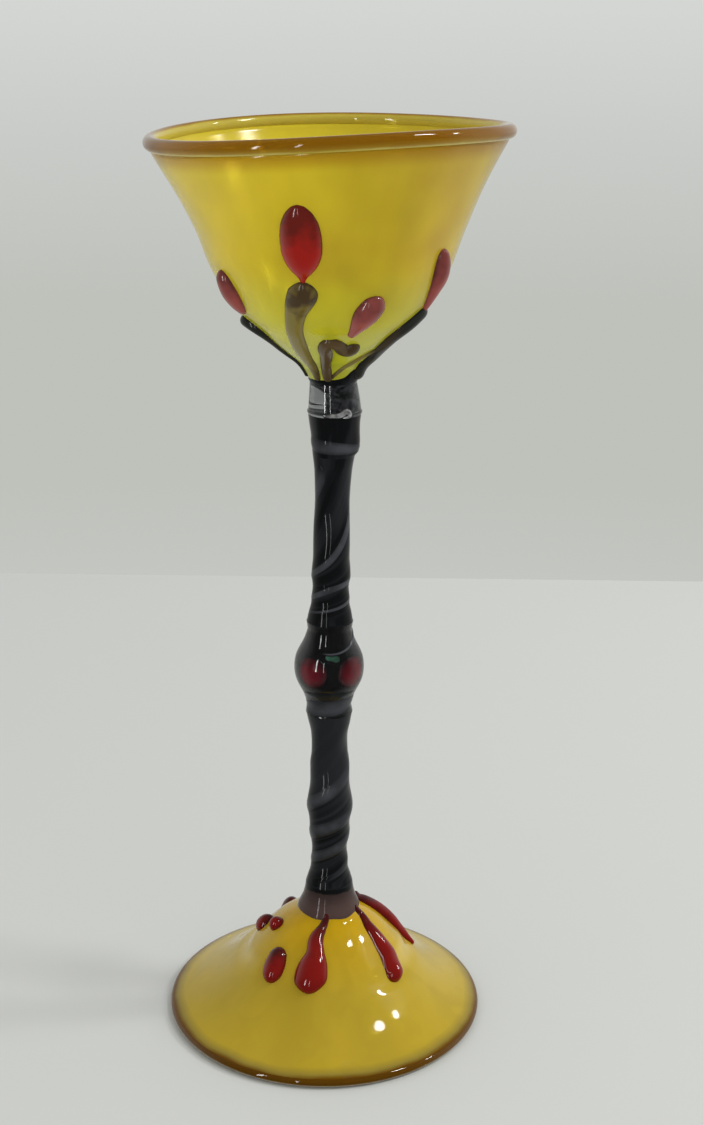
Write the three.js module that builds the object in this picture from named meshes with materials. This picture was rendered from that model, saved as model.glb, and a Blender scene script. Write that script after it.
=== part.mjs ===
// A tall hand-made wine glass: a flared opal bowl on a twisted dark stem with a cased knop,
// on a domed foot, with trails, buds and drips of hot glass laid on its walls.
// Millimetres, +Z up, with the origin under the middle of the foot, on the table.

import * as THREE from "three";

// Lengths of the stacked pieces, from the table up
const FOOT_HEIGHT = 30.2;
const FOOT_COLLAR_LENGTH = 5.8;
const LOWER_STEM_LENGTH = 48.5;
const KNOP_LENGTH = 24.5;
const UPPER_STEM_LENGTH = 43;
const KNUCKLE_LENGTH = 10.3;
const NECK_COLLAR_LENGTH = 7.9;
const BOWL_HEIGHT = 55.8;

// Radii where one stacked piece meets the next, and of the two stems between
const FOOT_COLLAR_RADIUS = 7.4;
const LOWER_STEM_BOTTOM_RADIUS = 6.15;
const LOWER_STEM_RADIUS = 5;
const KNOP_BOTTOM_RADIUS = 5.9;
const KNOP_TOP_RADIUS = 5.8;
const UPPER_STEM_RADIUS = 4.6;
const KNUCKLE_BOTTOM_RADIUS = 5.2;
const NECK_COLLAR_BOTTOM_RADIUS = 6.5;
const BOWL_BOTTOM_RADIUS = 5.7;

// Bowl and foot
const BOWL_RADIUS = 41.2;
const BOWL_WALL = 1.9;
const BOWL_SOLID_BOTTOM = 4.8;
const LIP_WRAP_RADIUS = 1.7;
const FOOT_RADIUS = 38.6;
const FOOT_WALL = 2.6;
const FOOT_EDGE_HEIGHT = 3.3;
const FOOT_REST_WIDTH = 2.2;
const FOOT_WRAP_LIFT = 0.1;
const FOOT_WRAP_RADIUS = 1.25;

// Knop: berries and leaves on a dark core, under a sleeve of clear glass
const KNOP_CORE_RADIUS = 6.2;
const KNOP_WAIST_RADIUS = 5.3;
const KNOP_SLEEVE_WALL = 1.05;
const KNOP_SLEEVE_EDGE_WALL = 0.4;
const KNOP_SLEEVE_INSET = 2;
const KNOP_SLEEVE_FULLNESS = 1.2;
const BERRY_FIRST_AZIMUTH = -127;
const BERRY_RADIUS = 4;
const BERRY_SPACING = 1.6;
const BERRY_RISE = 0.8;
const LEAF_COUNT = 2;
const LEAF_FIRST_AZIMUTH = -82;
const LEAF_LIFT = 4;
const LEAF_HALF_SPAN = 16;
const LEAF_HALF_WIDTH = 0.9;
const LEAF_RISE = 0.4;

// Heights of the raised glass over the wall that it lies on
const BUD_RISE = 2;
const STALK_RISE = 1.3;
const DRIP_RISE = 2;
const STEM_TRAIL_RISE = 0.5;
const STEM_TRAIL_HALF_WIDTH = 1.1;

// The gap that touching curved pieces keep
const SEAT_GAP = 0.3;

// How far the hand-made glass strays from true: the rim's tilt and wave, and the bends of the axis
const RIM_TILT = 1.7;
const RIM_WAVE = 0.7;
const RIM_WAVE_AZIMUTH = 43;

// Facets: steps round the axis and round a trail, and steps or spacing along each kind of piece
const ROUND_STEPS = 48;
const STEM_ROUND_STEPS = 20;
const WRAP_ROUND_STEPS = 8;
const LAID_ROUND_STEPS = 8;
const BERRY_ROUND_STEPS = 12;
const STEM_TRAIL_ROUND_STEPS = 6;
const BOWL_STEPS = 16;
const FOOT_STEPS = 13;
const SLEEVE_STEPS = 12;
const STEM_STEP_LENGTH = 2.6;
const LAID_STEP_LENGTH = 2;
const LAID_END_STEPS = 3;

// Heights that the lengths add up to
const LOWER_STEM_BOTTOM = FOOT_HEIGHT + FOOT_COLLAR_LENGTH;
const KNOP_BOTTOM = LOWER_STEM_BOTTOM + LOWER_STEM_LENGTH;
const UPPER_STEM_BOTTOM = KNOP_BOTTOM + KNOP_LENGTH;
const KNUCKLE_BOTTOM = UPPER_STEM_BOTTOM + UPPER_STEM_LENGTH;
const NECK_COLLAR_BOTTOM = KNUCKLE_BOTTOM + KNUCKLE_LENGTH;
const BOWL_BOTTOM = NECK_COLLAR_BOTTOM + NECK_COLLAR_LENGTH;
const BOWL_TOP = BOWL_BOTTOM + BOWL_HEIGHT;

// Sideways offset of the axis, towards +X, at each height
const SWAY = [
  [0, 0],
  [FOOT_HEIGHT, 1],
  [(LOWER_STEM_BOTTOM + KNOP_BOTTOM) / 2, 0.95],
  [(KNOP_BOTTOM + UPPER_STEM_BOTTOM) / 2, 0.5],
  [(UPPER_STEM_BOTTOM + KNUCKLE_BOTTOM) / 2, 0.85],
  [NECK_COLLAR_BOTTOM, 1.35],
  [BOWL_BOTTOM + BOWL_HEIGHT / 5, 0.3],
  [BOWL_BOTTOM + BOWL_HEIGHT * 0.6, 0],
  [BOWL_TOP, -0.3],
];

const degrees = THREE.MathUtils.degToRad;
const mix = THREE.MathUtils.lerp;
const ease = THREE.MathUtils.smoothstep;

// The sideways offset at a height, eased from one row of SWAY to the next
function swayAt(z) {
  const next = SWAY.findIndex(([height]) => height > z);
  if (next === 0) return SWAY[0][1];
  if (next < 0) return SWAY[SWAY.length - 1][1];
  const [lowZ, low] = SWAY[next - 1];
  const [highZ, high] = SWAY[next];
  return mix(low, high, ease(z, lowZ, highZ));
}

// Moves every point of a true piece to where the hand-made glass has it
function handMade(geometry) {
  const places = geometry.attributes.position;
  for (let i = 0; i < places.count; i += 1) {
    const [x, y, z] = [places.getX(i), places.getY(i), places.getZ(i)];
    const azimuth = Math.atan2(y, x);
    const tilt = RIM_TILT * Math.cos(azimuth);
    const wave = RIM_WAVE * Math.cos(2 * azimuth - degrees(RIM_WAVE_AZIMUTH));
    const share = ease(z, BOWL_BOTTOM + BOWL_HEIGHT / 2, BOWL_TOP);
    places.setXYZ(i, x + swayAt(z), y, z + share * (tilt - wave));
  }
  return geometry;
}

// A named mesh of glass in one colour
function glass(name, geometry, color, roughness = 0.1) {
  const material = new THREE.MeshStandardMaterial({ color, roughness, metalness: 0 });
  const mesh = new THREE.Mesh(handMade(geometry), material);
  mesh.name = name;
  return mesh;
}

// A body of revolution about Z from an outline of radius and height, faces out
function turned(outline, steps) {
  return new THREE.LatheGeometry(outline, steps).rotateX(Math.PI / 2);
}

const onAxis = (z) => new THREE.Vector2(0, z);

// Outlines of the outer walls, each a smooth curve of radius and height that runs upwards

// The bowl's outside, from the neck to the lip, as shares of its height and of its flare
const BOWL_SHAPE = [
  [0, 0],
  [0.046, 0.027],
  [0.09, 0.072],
  [0.135, 0.157],
  [0.222, 0.328],
  [0.309, 0.47],
  [0.478, 0.627],
  [0.648, 0.726],
  [0.814, 0.84],
  [1, 1],
];
const bowlWall = new THREE.SplineCurve(
  BOWL_SHAPE.map(([up, out]) => {
    const radius = mix(BOWL_BOTTOM_RADIUS, BOWL_RADIUS, out);
    return new THREE.Vector2(radius, BOWL_BOTTOM + up * BOWL_HEIGHT);
  }),
);

// The foot's top, from the edge up to the collar, as shares of its spread and of its drop
const FOOT_SHAPE = [
  [1, 1],
  [0.885, 0.937],
  [0.724, 0.817],
  [0.564, 0.654],
  [0.404, 0.454],
  [0.244, 0.26],
  [0.115, 0.145],
  [0.038, 0.078],
  [0, 0],
];
const footWall = new THREE.SplineCurve(
  FOOT_SHAPE.map(([out, down]) => {
    const radius = mix(FOOT_COLLAR_RADIUS, FOOT_RADIUS, out);
    return new THREE.Vector2(radius, mix(FOOT_HEIGHT, FOOT_EDGE_HEIGHT, down));
  }),
);

// A stem piece's wall from bottom to top, through radii at even heights
function stemWall(bottom, length, radii) {
  const points = radii.map((radius, i) => {
    return new THREE.Vector2(radius, bottom + (length * i) / (radii.length - 1));
  });
  return new THREE.SplineCurve(points);
}

// A short collar that passes from one radius to another by the given shares
function collarWall(bottom, length, bottomRadius, topRadius, shares) {
  return stemWall(bottom, length, shares.map((share) => mix(bottomRadius, topRadius, share)));
}

// The stems swell and thin by hand, about their own radius
const UPPER_SWELL = [0.1, 0.15, 0.25, -0.2, -0.65, -0.25];
const LOWER_SWELL = [-0.3, -0.15, 0.45, 0.7, 0.15, -0.45, 0];

const upperStemWall = stemWall(UPPER_STEM_BOTTOM, UPPER_STEM_LENGTH, [
  KNOP_TOP_RADIUS,
  ...UPPER_SWELL.map((swell) => UPPER_STEM_RADIUS + swell),
  KNUCKLE_BOTTOM_RADIUS,
]);
const lowerStemWall = stemWall(LOWER_STEM_BOTTOM, LOWER_STEM_LENGTH, [
  LOWER_STEM_BOTTOM_RADIUS,
  ...LOWER_SWELL.map((swell) => LOWER_STEM_RADIUS + swell),
  KNOP_BOTTOM_RADIUS,
]);
const knopCoreWall = stemWall(KNOP_BOTTOM, KNOP_LENGTH, [
  KNOP_BOTTOM_RADIUS,
  KNOP_WAIST_RADIUS,
  KNOP_CORE_RADIUS,
  KNOP_CORE_RADIUS,
  KNOP_WAIST_RADIUS,
  KNOP_TOP_RADIUS,
]);
const footCollarWall = collarWall(
  FOOT_HEIGHT,
  FOOT_COLLAR_LENGTH,
  FOOT_COLLAR_RADIUS,
  LOWER_STEM_BOTTOM_RADIUS,
  [0, 0.42, 0.79, 1],
);
const knuckleWall = collarWall(
  KNUCKLE_BOTTOM,
  KNUCKLE_LENGTH,
  KNUCKLE_BOTTOM_RADIUS,
  NECK_COLLAR_BOTTOM_RADIUS,
  [0, 0.23, 0.42, 0.73, 1],
);
const neckCollarWall = collarWall(
  NECK_COLLAR_BOTTOM,
  NECK_COLLAR_LENGTH,
  NECK_COLLAR_BOTTOM_RADIUS,
  BOWL_BOTTOM_RADIUS,
  [0, 0.25, 0.62, 1],
);

// The point at a share of a wall's length, moved out from it, or in where the distance is negative
function offWall(wall, way, distance) {
  const along = wall.getTangentAt(way);
  const out = new THREE.Vector2(along.y, -along.x);
  return wall.getPointAt(way).addScaledVector(out, distance);
}

// Shares of a wall's length, evenly spaced
function ways(from, to, steps) {
  return Array.from({ length: steps + 1 }, (_, i) => mix(from, to, i / steps));
}

// Stacked solid pieces

function stemPiece(wall) {
  const outline = wall.getSpacedPoints(Math.ceil(wall.getLength() / STEM_STEP_LENGTH));
  const bottom = onAxis(outline[0].y);
  const top = onAxis(outline[outline.length - 1].y);
  return turned([bottom, ...outline, top], STEM_ROUND_STEPS);
}

// The bowl's inside follows the wall down to its rounded floor
function bowl() {
  const floor = BOWL_BOTTOM + BOWL_SOLID_BOTTOM;
  const rounding = BOWL_WALL / 2;
  const outside = bowlWall.getSpacedPoints(BOWL_STEPS);
  const inside = ways(1, 0, BOWL_STEPS).map((way) => offWall(bowlWall, way, -BOWL_WALL));
  const hollow = inside.filter((point) => point.y > floor + rounding);
  const low = hollow[hollow.length - 1];
  const bend = new THREE.Vector2(low.x / 2, floor + rounding / 3);
  return turned([onAxis(BOWL_BOTTOM), ...outside, ...hollow, bend, onAxis(floor)], ROUND_STEPS);
}

// The foot is hollow beneath, and rests on a flat ring inside its edge
function foot() {
  const restInside = new THREE.Vector2(FOOT_RADIUS - FOOT_REST_WIDTH, 0);
  const restOutside = new THREE.Vector2(FOOT_RADIUS, 0);
  const under = ways(1, 0, FOOT_STEPS).map((way) => offWall(footWall, way, -FOOT_WALL));
  const hollow = under.filter((point) => {
    return point.x > FOOT_COLLAR_RADIUS && point.x < restInside.x - FOOT_WALL / 2;
  });
  const crown = onAxis(FOOT_HEIGHT - FOOT_WALL);
  const top = footWall.getSpacedPoints(FOOT_STEPS);
  const outline = [crown, ...hollow, restInside, restOutside, ...top, onAxis(FOOT_HEIGHT)];
  return turned(outline, ROUND_STEPS);
}

// A round trail of glass that runs once about the axis
function ringTrail(middle, radius) {
  const section = Array.from({ length: WRAP_ROUND_STEPS + 1 }, (_, i) => {
    const turn = (2 * Math.PI * (i % WRAP_ROUND_STEPS)) / WRAP_ROUND_STEPS;
    return new THREE.Vector2(Math.cos(turn), Math.sin(turn)).multiplyScalar(radius).add(middle);
  });
  return turned(section, ROUND_STEPS);
}

// Seated past the bowl's edge, in line with the wall
function lipWrap() {
  const edge = offWall(bowlWall, 1, -BOWL_WALL / 2);
  const middle = edge.addScaledVector(bowlWall.getTangentAt(1), SEAT_GAP + LIP_WRAP_RADIUS);
  return ringTrail(middle, LIP_WRAP_RADIUS);
}

// Seated outside the foot's edge, just clear of the table
function footWrap() {
  const reach = FOOT_RADIUS + SEAT_GAP + FOOT_WRAP_RADIUS;
  return ringTrail(new THREE.Vector2(reach, FOOT_WRAP_RADIUS + FOOT_WRAP_LIFT), FOOT_WRAP_RADIUS);
}

// A clear sleeve round the knop core, that bulges to make room for the berries
function knopSleeve() {
  const inner = [];
  const outer = [];
  const inset = KNOP_SLEEVE_INSET / KNOP_LENGTH;
  for (const way of ways(inset, 1 - inset, SLEEVE_STEPS)) {
    const core = offWall(knopCoreWall, way, 0);
    const share = (2 * way - 1) / (1 - 2 * inset);
    const bulge = Math.max(0, 1 - share * share) ** KNOP_SLEEVE_FULLNESS;
    const bore = core.x + SEAT_GAP + (BERRY_RISE + SEAT_GAP) * bulge;
    const wall = mix(KNOP_SLEEVE_EDGE_WALL, KNOP_SLEEVE_WALL, bulge);
    inner.push(new THREE.Vector2(bore, core.y));
    outer.push(new THREE.Vector2(bore + wall, core.y));
  }
  return turned([...outer, ...inner.reverse(), outer[0]], STEM_ROUND_STEPS);
}

// Glass laid on a wall

// A flat-backed drop or trail of hot glass that lies on a wall. Its route is a list of azimuths in
// degrees with shares of the wall's length, and its half widths are evenly spaced along the route.
function laid(wall, route, halfWidths, rise, roundSteps = LAID_ROUND_STEPS) {
  const meanWay = route.reduce((sum, [, way]) => sum + way, 0) / route.length;
  const radius = wall.getPointAt(meanWay).x;
  const wallLength = wall.getLength();
  const flat = route.map(([azimuth, way]) => {
    return new THREE.Vector2(degrees(azimuth) * radius, way * wallLength);
  });
  const path = new THREE.SplineCurve(flat);
  const pathLength = path.getLength();
  const widest = Math.max(...halfWidths);

  // A ball drawn out along the path: its poles are the ends, and its back half lies flat
  const steps = Math.ceil(pathLength / LAID_STEP_LENGTH) + LAID_END_STEPS;
  const ball = new THREE.SphereGeometry(1, roundSteps, steps);
  const places = ball.attributes.position;
  for (let i = 0; i < places.count; i += 1) {
    const share = THREE.MathUtils.clamp((1 - places.getY(i)) / 2, 0, 1);
    const ring = Math.hypot(places.getX(i), places.getZ(i));
    const isPole = ring < 1e-6;
    const across = isPole ? 0 : places.getX(i) / ring;
    const up = isPole ? 0 : Math.max(0, places.getZ(i) / ring);

    const step = share * (halfWidths.length - 1);
    const from = Math.min(Math.floor(step), halfWidths.length - 2);
    const listed = mix(halfWidths[from], halfWidths[from + 1], step - from);
    const end = share < 0.5 ? halfWidths[0] : halfWidths[halfWidths.length - 1];
    const halfWidth = listed * Math.min(1, ring * Math.sqrt(pathLength / (2 * end)));

    const middle = path.getPointAt(share);
    const along = path.getTangentAt(share);
    const reach = across * halfWidth;
    const way = THREE.MathUtils.clamp((middle.y + along.x * reach) / wallLength, 0, 1);
    const local = offWall(wall, way, SEAT_GAP + (up * rise * halfWidth) / widest);
    const azimuth = middle.x / radius - (along.y * reach) / wall.getPointAt(way).x;
    places.setXYZ(i, local.x * Math.cos(azimuth), local.x * Math.sin(azimuth), local.y);
  }
  return ball;
}

// Buds on the bowl: route and half widths, from the top down
const BUDS = [
  { route: [[-148.5, 0.555], [-149, 0.463], [-149.3, 0.375]], halfWidths: [1.9, 2.7, 3, 2.4, 1.2] },
  { route: [[-100.6, 0.831], [-100.8, 0.713], [-101.7, 0.566]], halfWidths: [3.4, 4.4, 4.5, 3.5, 1.2] },
  { route: [[-64, 0.484], [-70, 0.408], [-75.9, 0.322]], halfWidths: [2.4, 3.1, 3.1, 2.2, 1.2] },
  { route: [[-30.5, 0.642], [-26, 0.547], [-24, 0.48], [-19, 0.415]], halfWidths: [1.5, 2.3, 2.2, 1.5, 1] },
  { route: [[50, 0.755], [50, 0.658], [50, 0.585]], halfWidths: [2.6, 3.4, 3.4, 2.4, 1.2] },
  { route: [[84, 0.497], [81, 0.446], [79, 0.365]], halfWidths: [2.3, 3, 3, 2.2, 1.2] },
];

// Their stalks, from the curled knob below each bud down to the neck
const STALKS = [
  {
    route: [[-163, 0.343], [-156, 0.325], [-151, 0.29], [-151.5, 0.225], [-158, 0.16], [-160, 0.08]],
    halfWidths: [1.3, 1.2, 0.9, 0.8, 0.8, 0.7],
  },
  {
    route: [[-101.5, 0.545], [-102.5, 0.495], [-107.5, 0.425], [-111.5, 0.35], [-116.5, 0.235], [-126, 0.07]],
    halfWidths: [2.9, 3.2, 2.1, 2, 1.8, 1],
  },
  {
    route: [
      [-70.5, 0.25], [-72, 0.215], [-78, 0.214], [-84.5, 0.25],
      [-90, 0.263], [-94, 0.225], [-94.5, 0.16], [-99, 0.08],
    ],
    halfWidths: [1.3, 1.4, 1.4, 1.5, 1.4, 1.3, 1.1, 0.8],
  },
  {
    route: [[-19, 0.39], [-29, 0.36], [-36, 0.3], [-36, 0.22], [-28, 0.13], [-24, 0.06]],
    halfWidths: [1.6, 1.7, 1.6, 1.5, 1.3, 1],
  },
  {
    route: [[50, 0.562], [52, 0.48], [46, 0.36], [52, 0.22], [48, 0.06]],
    halfWidths: [2.2, 2, 1.6, 1.4, 0.9],
  },
  {
    route: [[79, 0.34], [83, 0.29], [92, 0.25], [95, 0.16], [88, 0.06]],
    halfWidths: [1.9, 1.7, 1.4, 1.2, 0.9],
  },
];

// Drips down the foot, from the collar down
const DRIPS = [
  {
    route: [[-96, 0.965], [-102.5, 0.88], [-103.5, 0.76], [-102, 0.62], [-100.5, 0.477]],
    halfWidths: [1, 1.9, 3.2, 4.2, 4.3, 3.3],
  },
  { route: [[-138, 0.705], [-134, 0.6], [-130.5, 0.485]], halfWidths: [2.2, 3.1, 2.7] },
  {
    route: [[-20, 0.95], [-28.5, 0.85], [-31, 0.74], [-32, 0.62], [-35.5, 0.46]],
    halfWidths: [1.1, 1.7, 2.3, 2.8, 2.6],
  },
  {
    route: [[32, 0.945], [29, 0.8], [23, 0.63], [16, 0.415]],
    halfWidths: [1.3, 1.7, 1.9, 1.5, 0.8],
  },
  { route: [[80, 0.9], [83, 0.74], [84, 0.515]], halfWidths: [2.2, 1.4, 3.2] },
  { route: [[126, 0.7], [124, 0.6], [123, 0.5]], halfWidths: [1.8, 2.4, 2] },
  { route: [[166, 0.735], [167.5, 0.67], [169, 0.6]], halfWidths: [1.9, 2.6, 2.1] },
  { route: [[-170, 0.83], [-167, 0.785], [-163, 0.735]], halfWidths: [1.5, 2.1, 1.7] },
];

// Colours
const YELLOW = 0xd9b91c;
const FOOT_YELLOW = 0xc79a1a;
const BROWN = 0x8a5a12;
const BUD_RED = 0x9c1420;
const STALK_BROWN = 0x4a3a30;
const DRIP_RED = 0x7c1420;
const STEM_BLACK = 0x17171b;
const TRAIL_GREY = 0x6d7584;
const SMOKE = 0x6b6870;
const LEAF_GREEN = 0x2f6b3a;

// A spiral trail on a stem piece, half a turn from its twin. Each row is a share of the piece's
// length, an azimuth and a share of the trail's width.
function stemTrail(wall, rows, twin) {
  const route = rows.map(([way, azimuth]) => [azimuth + twin * 180, way]);
  const halfWidths = rows.map((row) => row[2] * STEM_TRAIL_HALF_WIDTH);
  return laid(wall, route, halfWidths, STEM_TRAIL_RISE, STEM_TRAIL_ROUND_STEPS);
}

// The right-handed twist closes up towards the bottom of each stem piece
const UPPER_TWIST = [
  [0.05, -552, 0.6],
  [0.13, -360, 0.8],
  [0.27, -180, 1],
  [0.47, -88, 1],
  [0.68, 0, 1],
  [0.93, 80, 0.9],
];
const LOWER_TWIST = [
  [0.04, -660, 0.7],
  [0.14, -540, 0.9],
  [0.29, -360, 1],
  [0.45, -180, 1],
  [0.71, 0, 1],
  [0.94, 116, 0.8],
];

function berry(azimuth) {
  const half = BERRY_RADIUS / KNOP_LENGTH;
  const route = [[azimuth, 0.5 + half], [azimuth, 0.5 - half]];
  return laid(knopCoreWall, route, [BERRY_RADIUS, BERRY_RADIUS], BERRY_RISE, BERRY_ROUND_STEPS);
}

// As many berries as fit round the knop
const berrySpace = 2 * BERRY_RADIUS + BERRY_SPACING;
const berryCount = Math.floor((2 * Math.PI * KNOP_CORE_RADIUS) / berrySpace);

// A slim leaf that arches between the tops of two berries
function leaf(azimuth) {
  const way = 0.5 + LEAF_LIFT / KNOP_LENGTH;
  const arch = SEAT_GAP / KNOP_LENGTH;
  const route = [
    [azimuth - LEAF_HALF_SPAN, way - arch],
    [azimuth, way + arch],
    [azimuth + LEAF_HALF_SPAN, way - arch],
  ];
  return laid(knopCoreWall, route, [LEAF_HALF_WIDTH, LEAF_HALF_WIDTH], LEAF_RISE);
}

// The whole glass

const drinkingGlass = new THREE.Group();

drinkingGlass.add(
  glass("foot", foot(), FOOT_YELLOW),
  glass("foot_edge_wrap", footWrap(), BROWN),
  glass("foot_collar", stemPiece(footCollarWall), STEM_BLACK),
  glass("lower_stem", stemPiece(lowerStemWall), STEM_BLACK),
  glass("knop_core", stemPiece(knopCoreWall), STEM_BLACK),
  glass("knop_sleeve", knopSleeve(), SMOKE),
  glass("upper_stem", stemPiece(upperStemWall), STEM_BLACK),
  glass("stem_knuckle", stemPiece(knuckleWall), STEM_BLACK),
  glass("neck_collar", stemPiece(neckCollarWall), SMOKE),
  glass("bowl", bowl(), YELLOW),
  glass("lip_wrap", lipWrap(), BROWN),
);

for (const twin of [0, 1]) {
  const number = twin + 1;
  drinkingGlass.add(
    glass(`upper_stem_trail_${number}`, stemTrail(upperStemWall, UPPER_TWIST, twin), TRAIL_GREY),
    glass(`lower_stem_trail_${number}`, stemTrail(lowerStemWall, LOWER_TWIST, twin), TRAIL_GREY),
  );
}

for (let i = 0; i < berryCount; i += 1) {
  const azimuth = BERRY_FIRST_AZIMUTH + (360 * i) / berryCount;
  drinkingGlass.add(glass(`knop_berry_${i + 1}`, berry(azimuth), BUD_RED));
}

for (let i = 0; i < LEAF_COUNT; i += 1) {
  const azimuth = LEAF_FIRST_AZIMUTH + (360 * i) / LEAF_COUNT;
  drinkingGlass.add(glass(`knop_leaf_${i + 1}`, leaf(azimuth), LEAF_GREEN));
}

BUDS.forEach(({ route, halfWidths }, i) => {
  const bud = laid(bowlWall, route, halfWidths, BUD_RISE);
  drinkingGlass.add(glass(`bowl_bud_${i + 1}`, bud, BUD_RED));
});

STALKS.forEach(({ route, halfWidths }, i) => {
  const stalk = laid(bowlWall, route, halfWidths, STALK_RISE);
  drinkingGlass.add(glass(`bowl_stalk_${i + 1}`, stalk, STALK_BROWN));
});

DRIPS.forEach(({ route, halfWidths }, i) => {
  const drip = laid(footWall, route, halfWidths, DRIP_RISE);
  drinkingGlass.add(glass(`foot_drip_${i + 1}`, drip, DRIP_RED));
});

export default drinkingGlass;
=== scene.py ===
"""A tall hand-made wine glass: an opal bowl on a twisted dark stem with a cased knop, on a domed foot.

Metres, +Z up, with the origin under the middle of the foot. The pieces repeat the shapes of the
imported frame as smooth, fused glass. The buds, stalks and drips keep their places, and run on to what
they melt into: the threads under the buds, the dark ring round the neck and the skirt of the collar.
"""
import math
from bisect import bisect_right

import bmesh
import bpy
from bpy.props import FloatProperty, FloatVectorProperty, PointerProperty
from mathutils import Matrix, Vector, noise
from mathutils.geometry import interpolate_bezier


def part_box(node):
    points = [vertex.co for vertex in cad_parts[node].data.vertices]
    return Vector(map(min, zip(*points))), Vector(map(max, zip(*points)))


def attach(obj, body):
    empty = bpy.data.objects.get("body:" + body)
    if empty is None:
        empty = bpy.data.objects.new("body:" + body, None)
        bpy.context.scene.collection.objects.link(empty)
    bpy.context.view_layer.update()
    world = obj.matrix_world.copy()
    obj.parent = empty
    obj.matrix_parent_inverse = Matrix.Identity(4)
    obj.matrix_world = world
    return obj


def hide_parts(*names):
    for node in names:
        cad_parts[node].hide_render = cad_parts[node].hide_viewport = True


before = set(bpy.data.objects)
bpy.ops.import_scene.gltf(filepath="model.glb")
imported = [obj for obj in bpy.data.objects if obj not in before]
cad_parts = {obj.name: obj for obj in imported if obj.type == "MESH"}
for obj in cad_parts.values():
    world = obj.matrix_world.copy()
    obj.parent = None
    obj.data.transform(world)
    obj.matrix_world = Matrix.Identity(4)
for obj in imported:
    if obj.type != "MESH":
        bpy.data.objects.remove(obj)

bl_info = {
    "name": "Hand-made wine glass",
    "version": (1, 0, 0),
    "blender": (4, 5, 0),
    "location": "3D View > Sidebar > Wine glass",
    "description": "Builds a hand-made wine glass piece by piece, with its glass and its studio",
    "category": "Add Mesh",
}

MM = 0.001
FULL_TURN = 2 * math.pi

# Steps of the fine surface: round the axis, round a laid piece, and along each kind of outline
ROUND_STEPS = 144
STEM_ROUND_STEPS = 72
RING_STEPS = 28
LAID_ROUND_STEPS = 36
TRAIL_ROUND_STEPS = 20
SPAN_STEPS = 24
LAID_LEAST_STEPS = 24
WALL_STEP = 0.8 * MM
LAID_STEP = 0.45 * MM
STEM_STEP = 0.5 * MM
COLLAR_STEP = 0.4 * MM
FINE_STEP = 0.3 * MM
BEAD_STEP = 0.15 * MM

# Points this close are one, and heights this close share one turn of the twist
WELD = 0.002 * MM
TURN_STEP = 0.05 * MM

# Faces that meet at more than this keep a sharp edge between them
SHARP_ANGLE = math.radians(50)


# Outlines, routes and bends, as shares of the sizes

# The bowl's outside, from the neck to the lip: shares of its height and of its flare
BOWL_SHAPE = (
    (0, 0), (0.046, 0.027), (0.09, 0.072), (0.135, 0.157), (0.222, 0.328),
    (0.309, 0.47), (0.478, 0.627), (0.648, 0.726), (0.814, 0.84), (1, 1),
)

# The foot's top, from the edge up to the collar: shares of its spread and of its drop
FOOT_SHAPE = (
    (1, 1), (0.885, 0.937), (0.724, 0.817), (0.564, 0.654), (0.404, 0.454),
    (0.244, 0.26), (0.115, 0.145), (0.038, 0.078), (0, 0),
)

# How each short collar passes from its bottom radius to its top radius
FOOT_COLLAR_SHARES = (0, 0.42, 0.79, 1)
KNUCKLE_SHARES = (0, 0.23, 0.42, 0.73, 1)
NECK_SHARES = (0, 0.25, 0.62, 1)

# How the stems swell and thin about their own radius, in millimetres at even heights
UPPER_SWELL = (0.1, 0.15, 0.25, -0.2, -0.65, -0.25)
LOWER_SWELL = (-0.3, -0.15, 0.45, 0.7, 0.15, -0.45, 0)

# The twist of each stem: share of its length, azimuth in degrees, share of the trail's width
UPPER_TWIST = (
    (0.05, -552, 0.3), (0.145, -360, 0.5), (0.222, -270, 0.8), (0.275, -180, 0.8),
    (0.41, -88, 0.9), (0.7, 0, 1), (0.95, 50, 2),
)
LOWER_TWIST = (
    (0.04, -660, 0.6), (0.14, -540, 1.1), (0.29, -360, 1.35),
    (0.45, -180, 1.3), (0.71, 0, 1.1), (0.94, 116, 0.3),
)

# Glass laid on a wall: a route of azimuths in degrees with shares of the wall's length, then
# half widths in millimetres, evenly spaced along the route

# Buds on the bowl, from the top down; the big one is an egg that ends in a short thread
BIG_BUD = 1
BIG_BUD_WIDTHS = (2.6, 2.9, 3.6, 4.25, 4.55, 4.75, 4.8, 4.75, 4.65, 4.2, 3.5, 2.4, 1, 0.5)
BUDS = (
    (((-148.5, 0.555), (-149, 0.463), (-149.3, 0.375)), (1.9, 2.7, 3, 2.4, 1.2)),
    (((-100.6, 0.824), (-100.8, 0.713), (-101.5, 0.535)), BIG_BUD_WIDTHS),
    (((-64, 0.484), (-70, 0.408), (-76.5, 0.3)), (2.4, 3.1, 3.2, 2.5, 1.5, 0.9)),
    (((-33, 0.638), (-29, 0.547), (-27, 0.47), (-24, 0.385)), (1.6, 2.4, 2.5, 1.9, 1.3, 0.8)),
    (((50, 0.755), (50, 0.658), (50, 0.585)), (2.6, 3.4, 3.4, 2.4, 1.2)),
    (((84, 0.497), (81, 0.446), (79, 0.365)), (2.3, 3, 3, 2.2, 1.2)),
)

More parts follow.
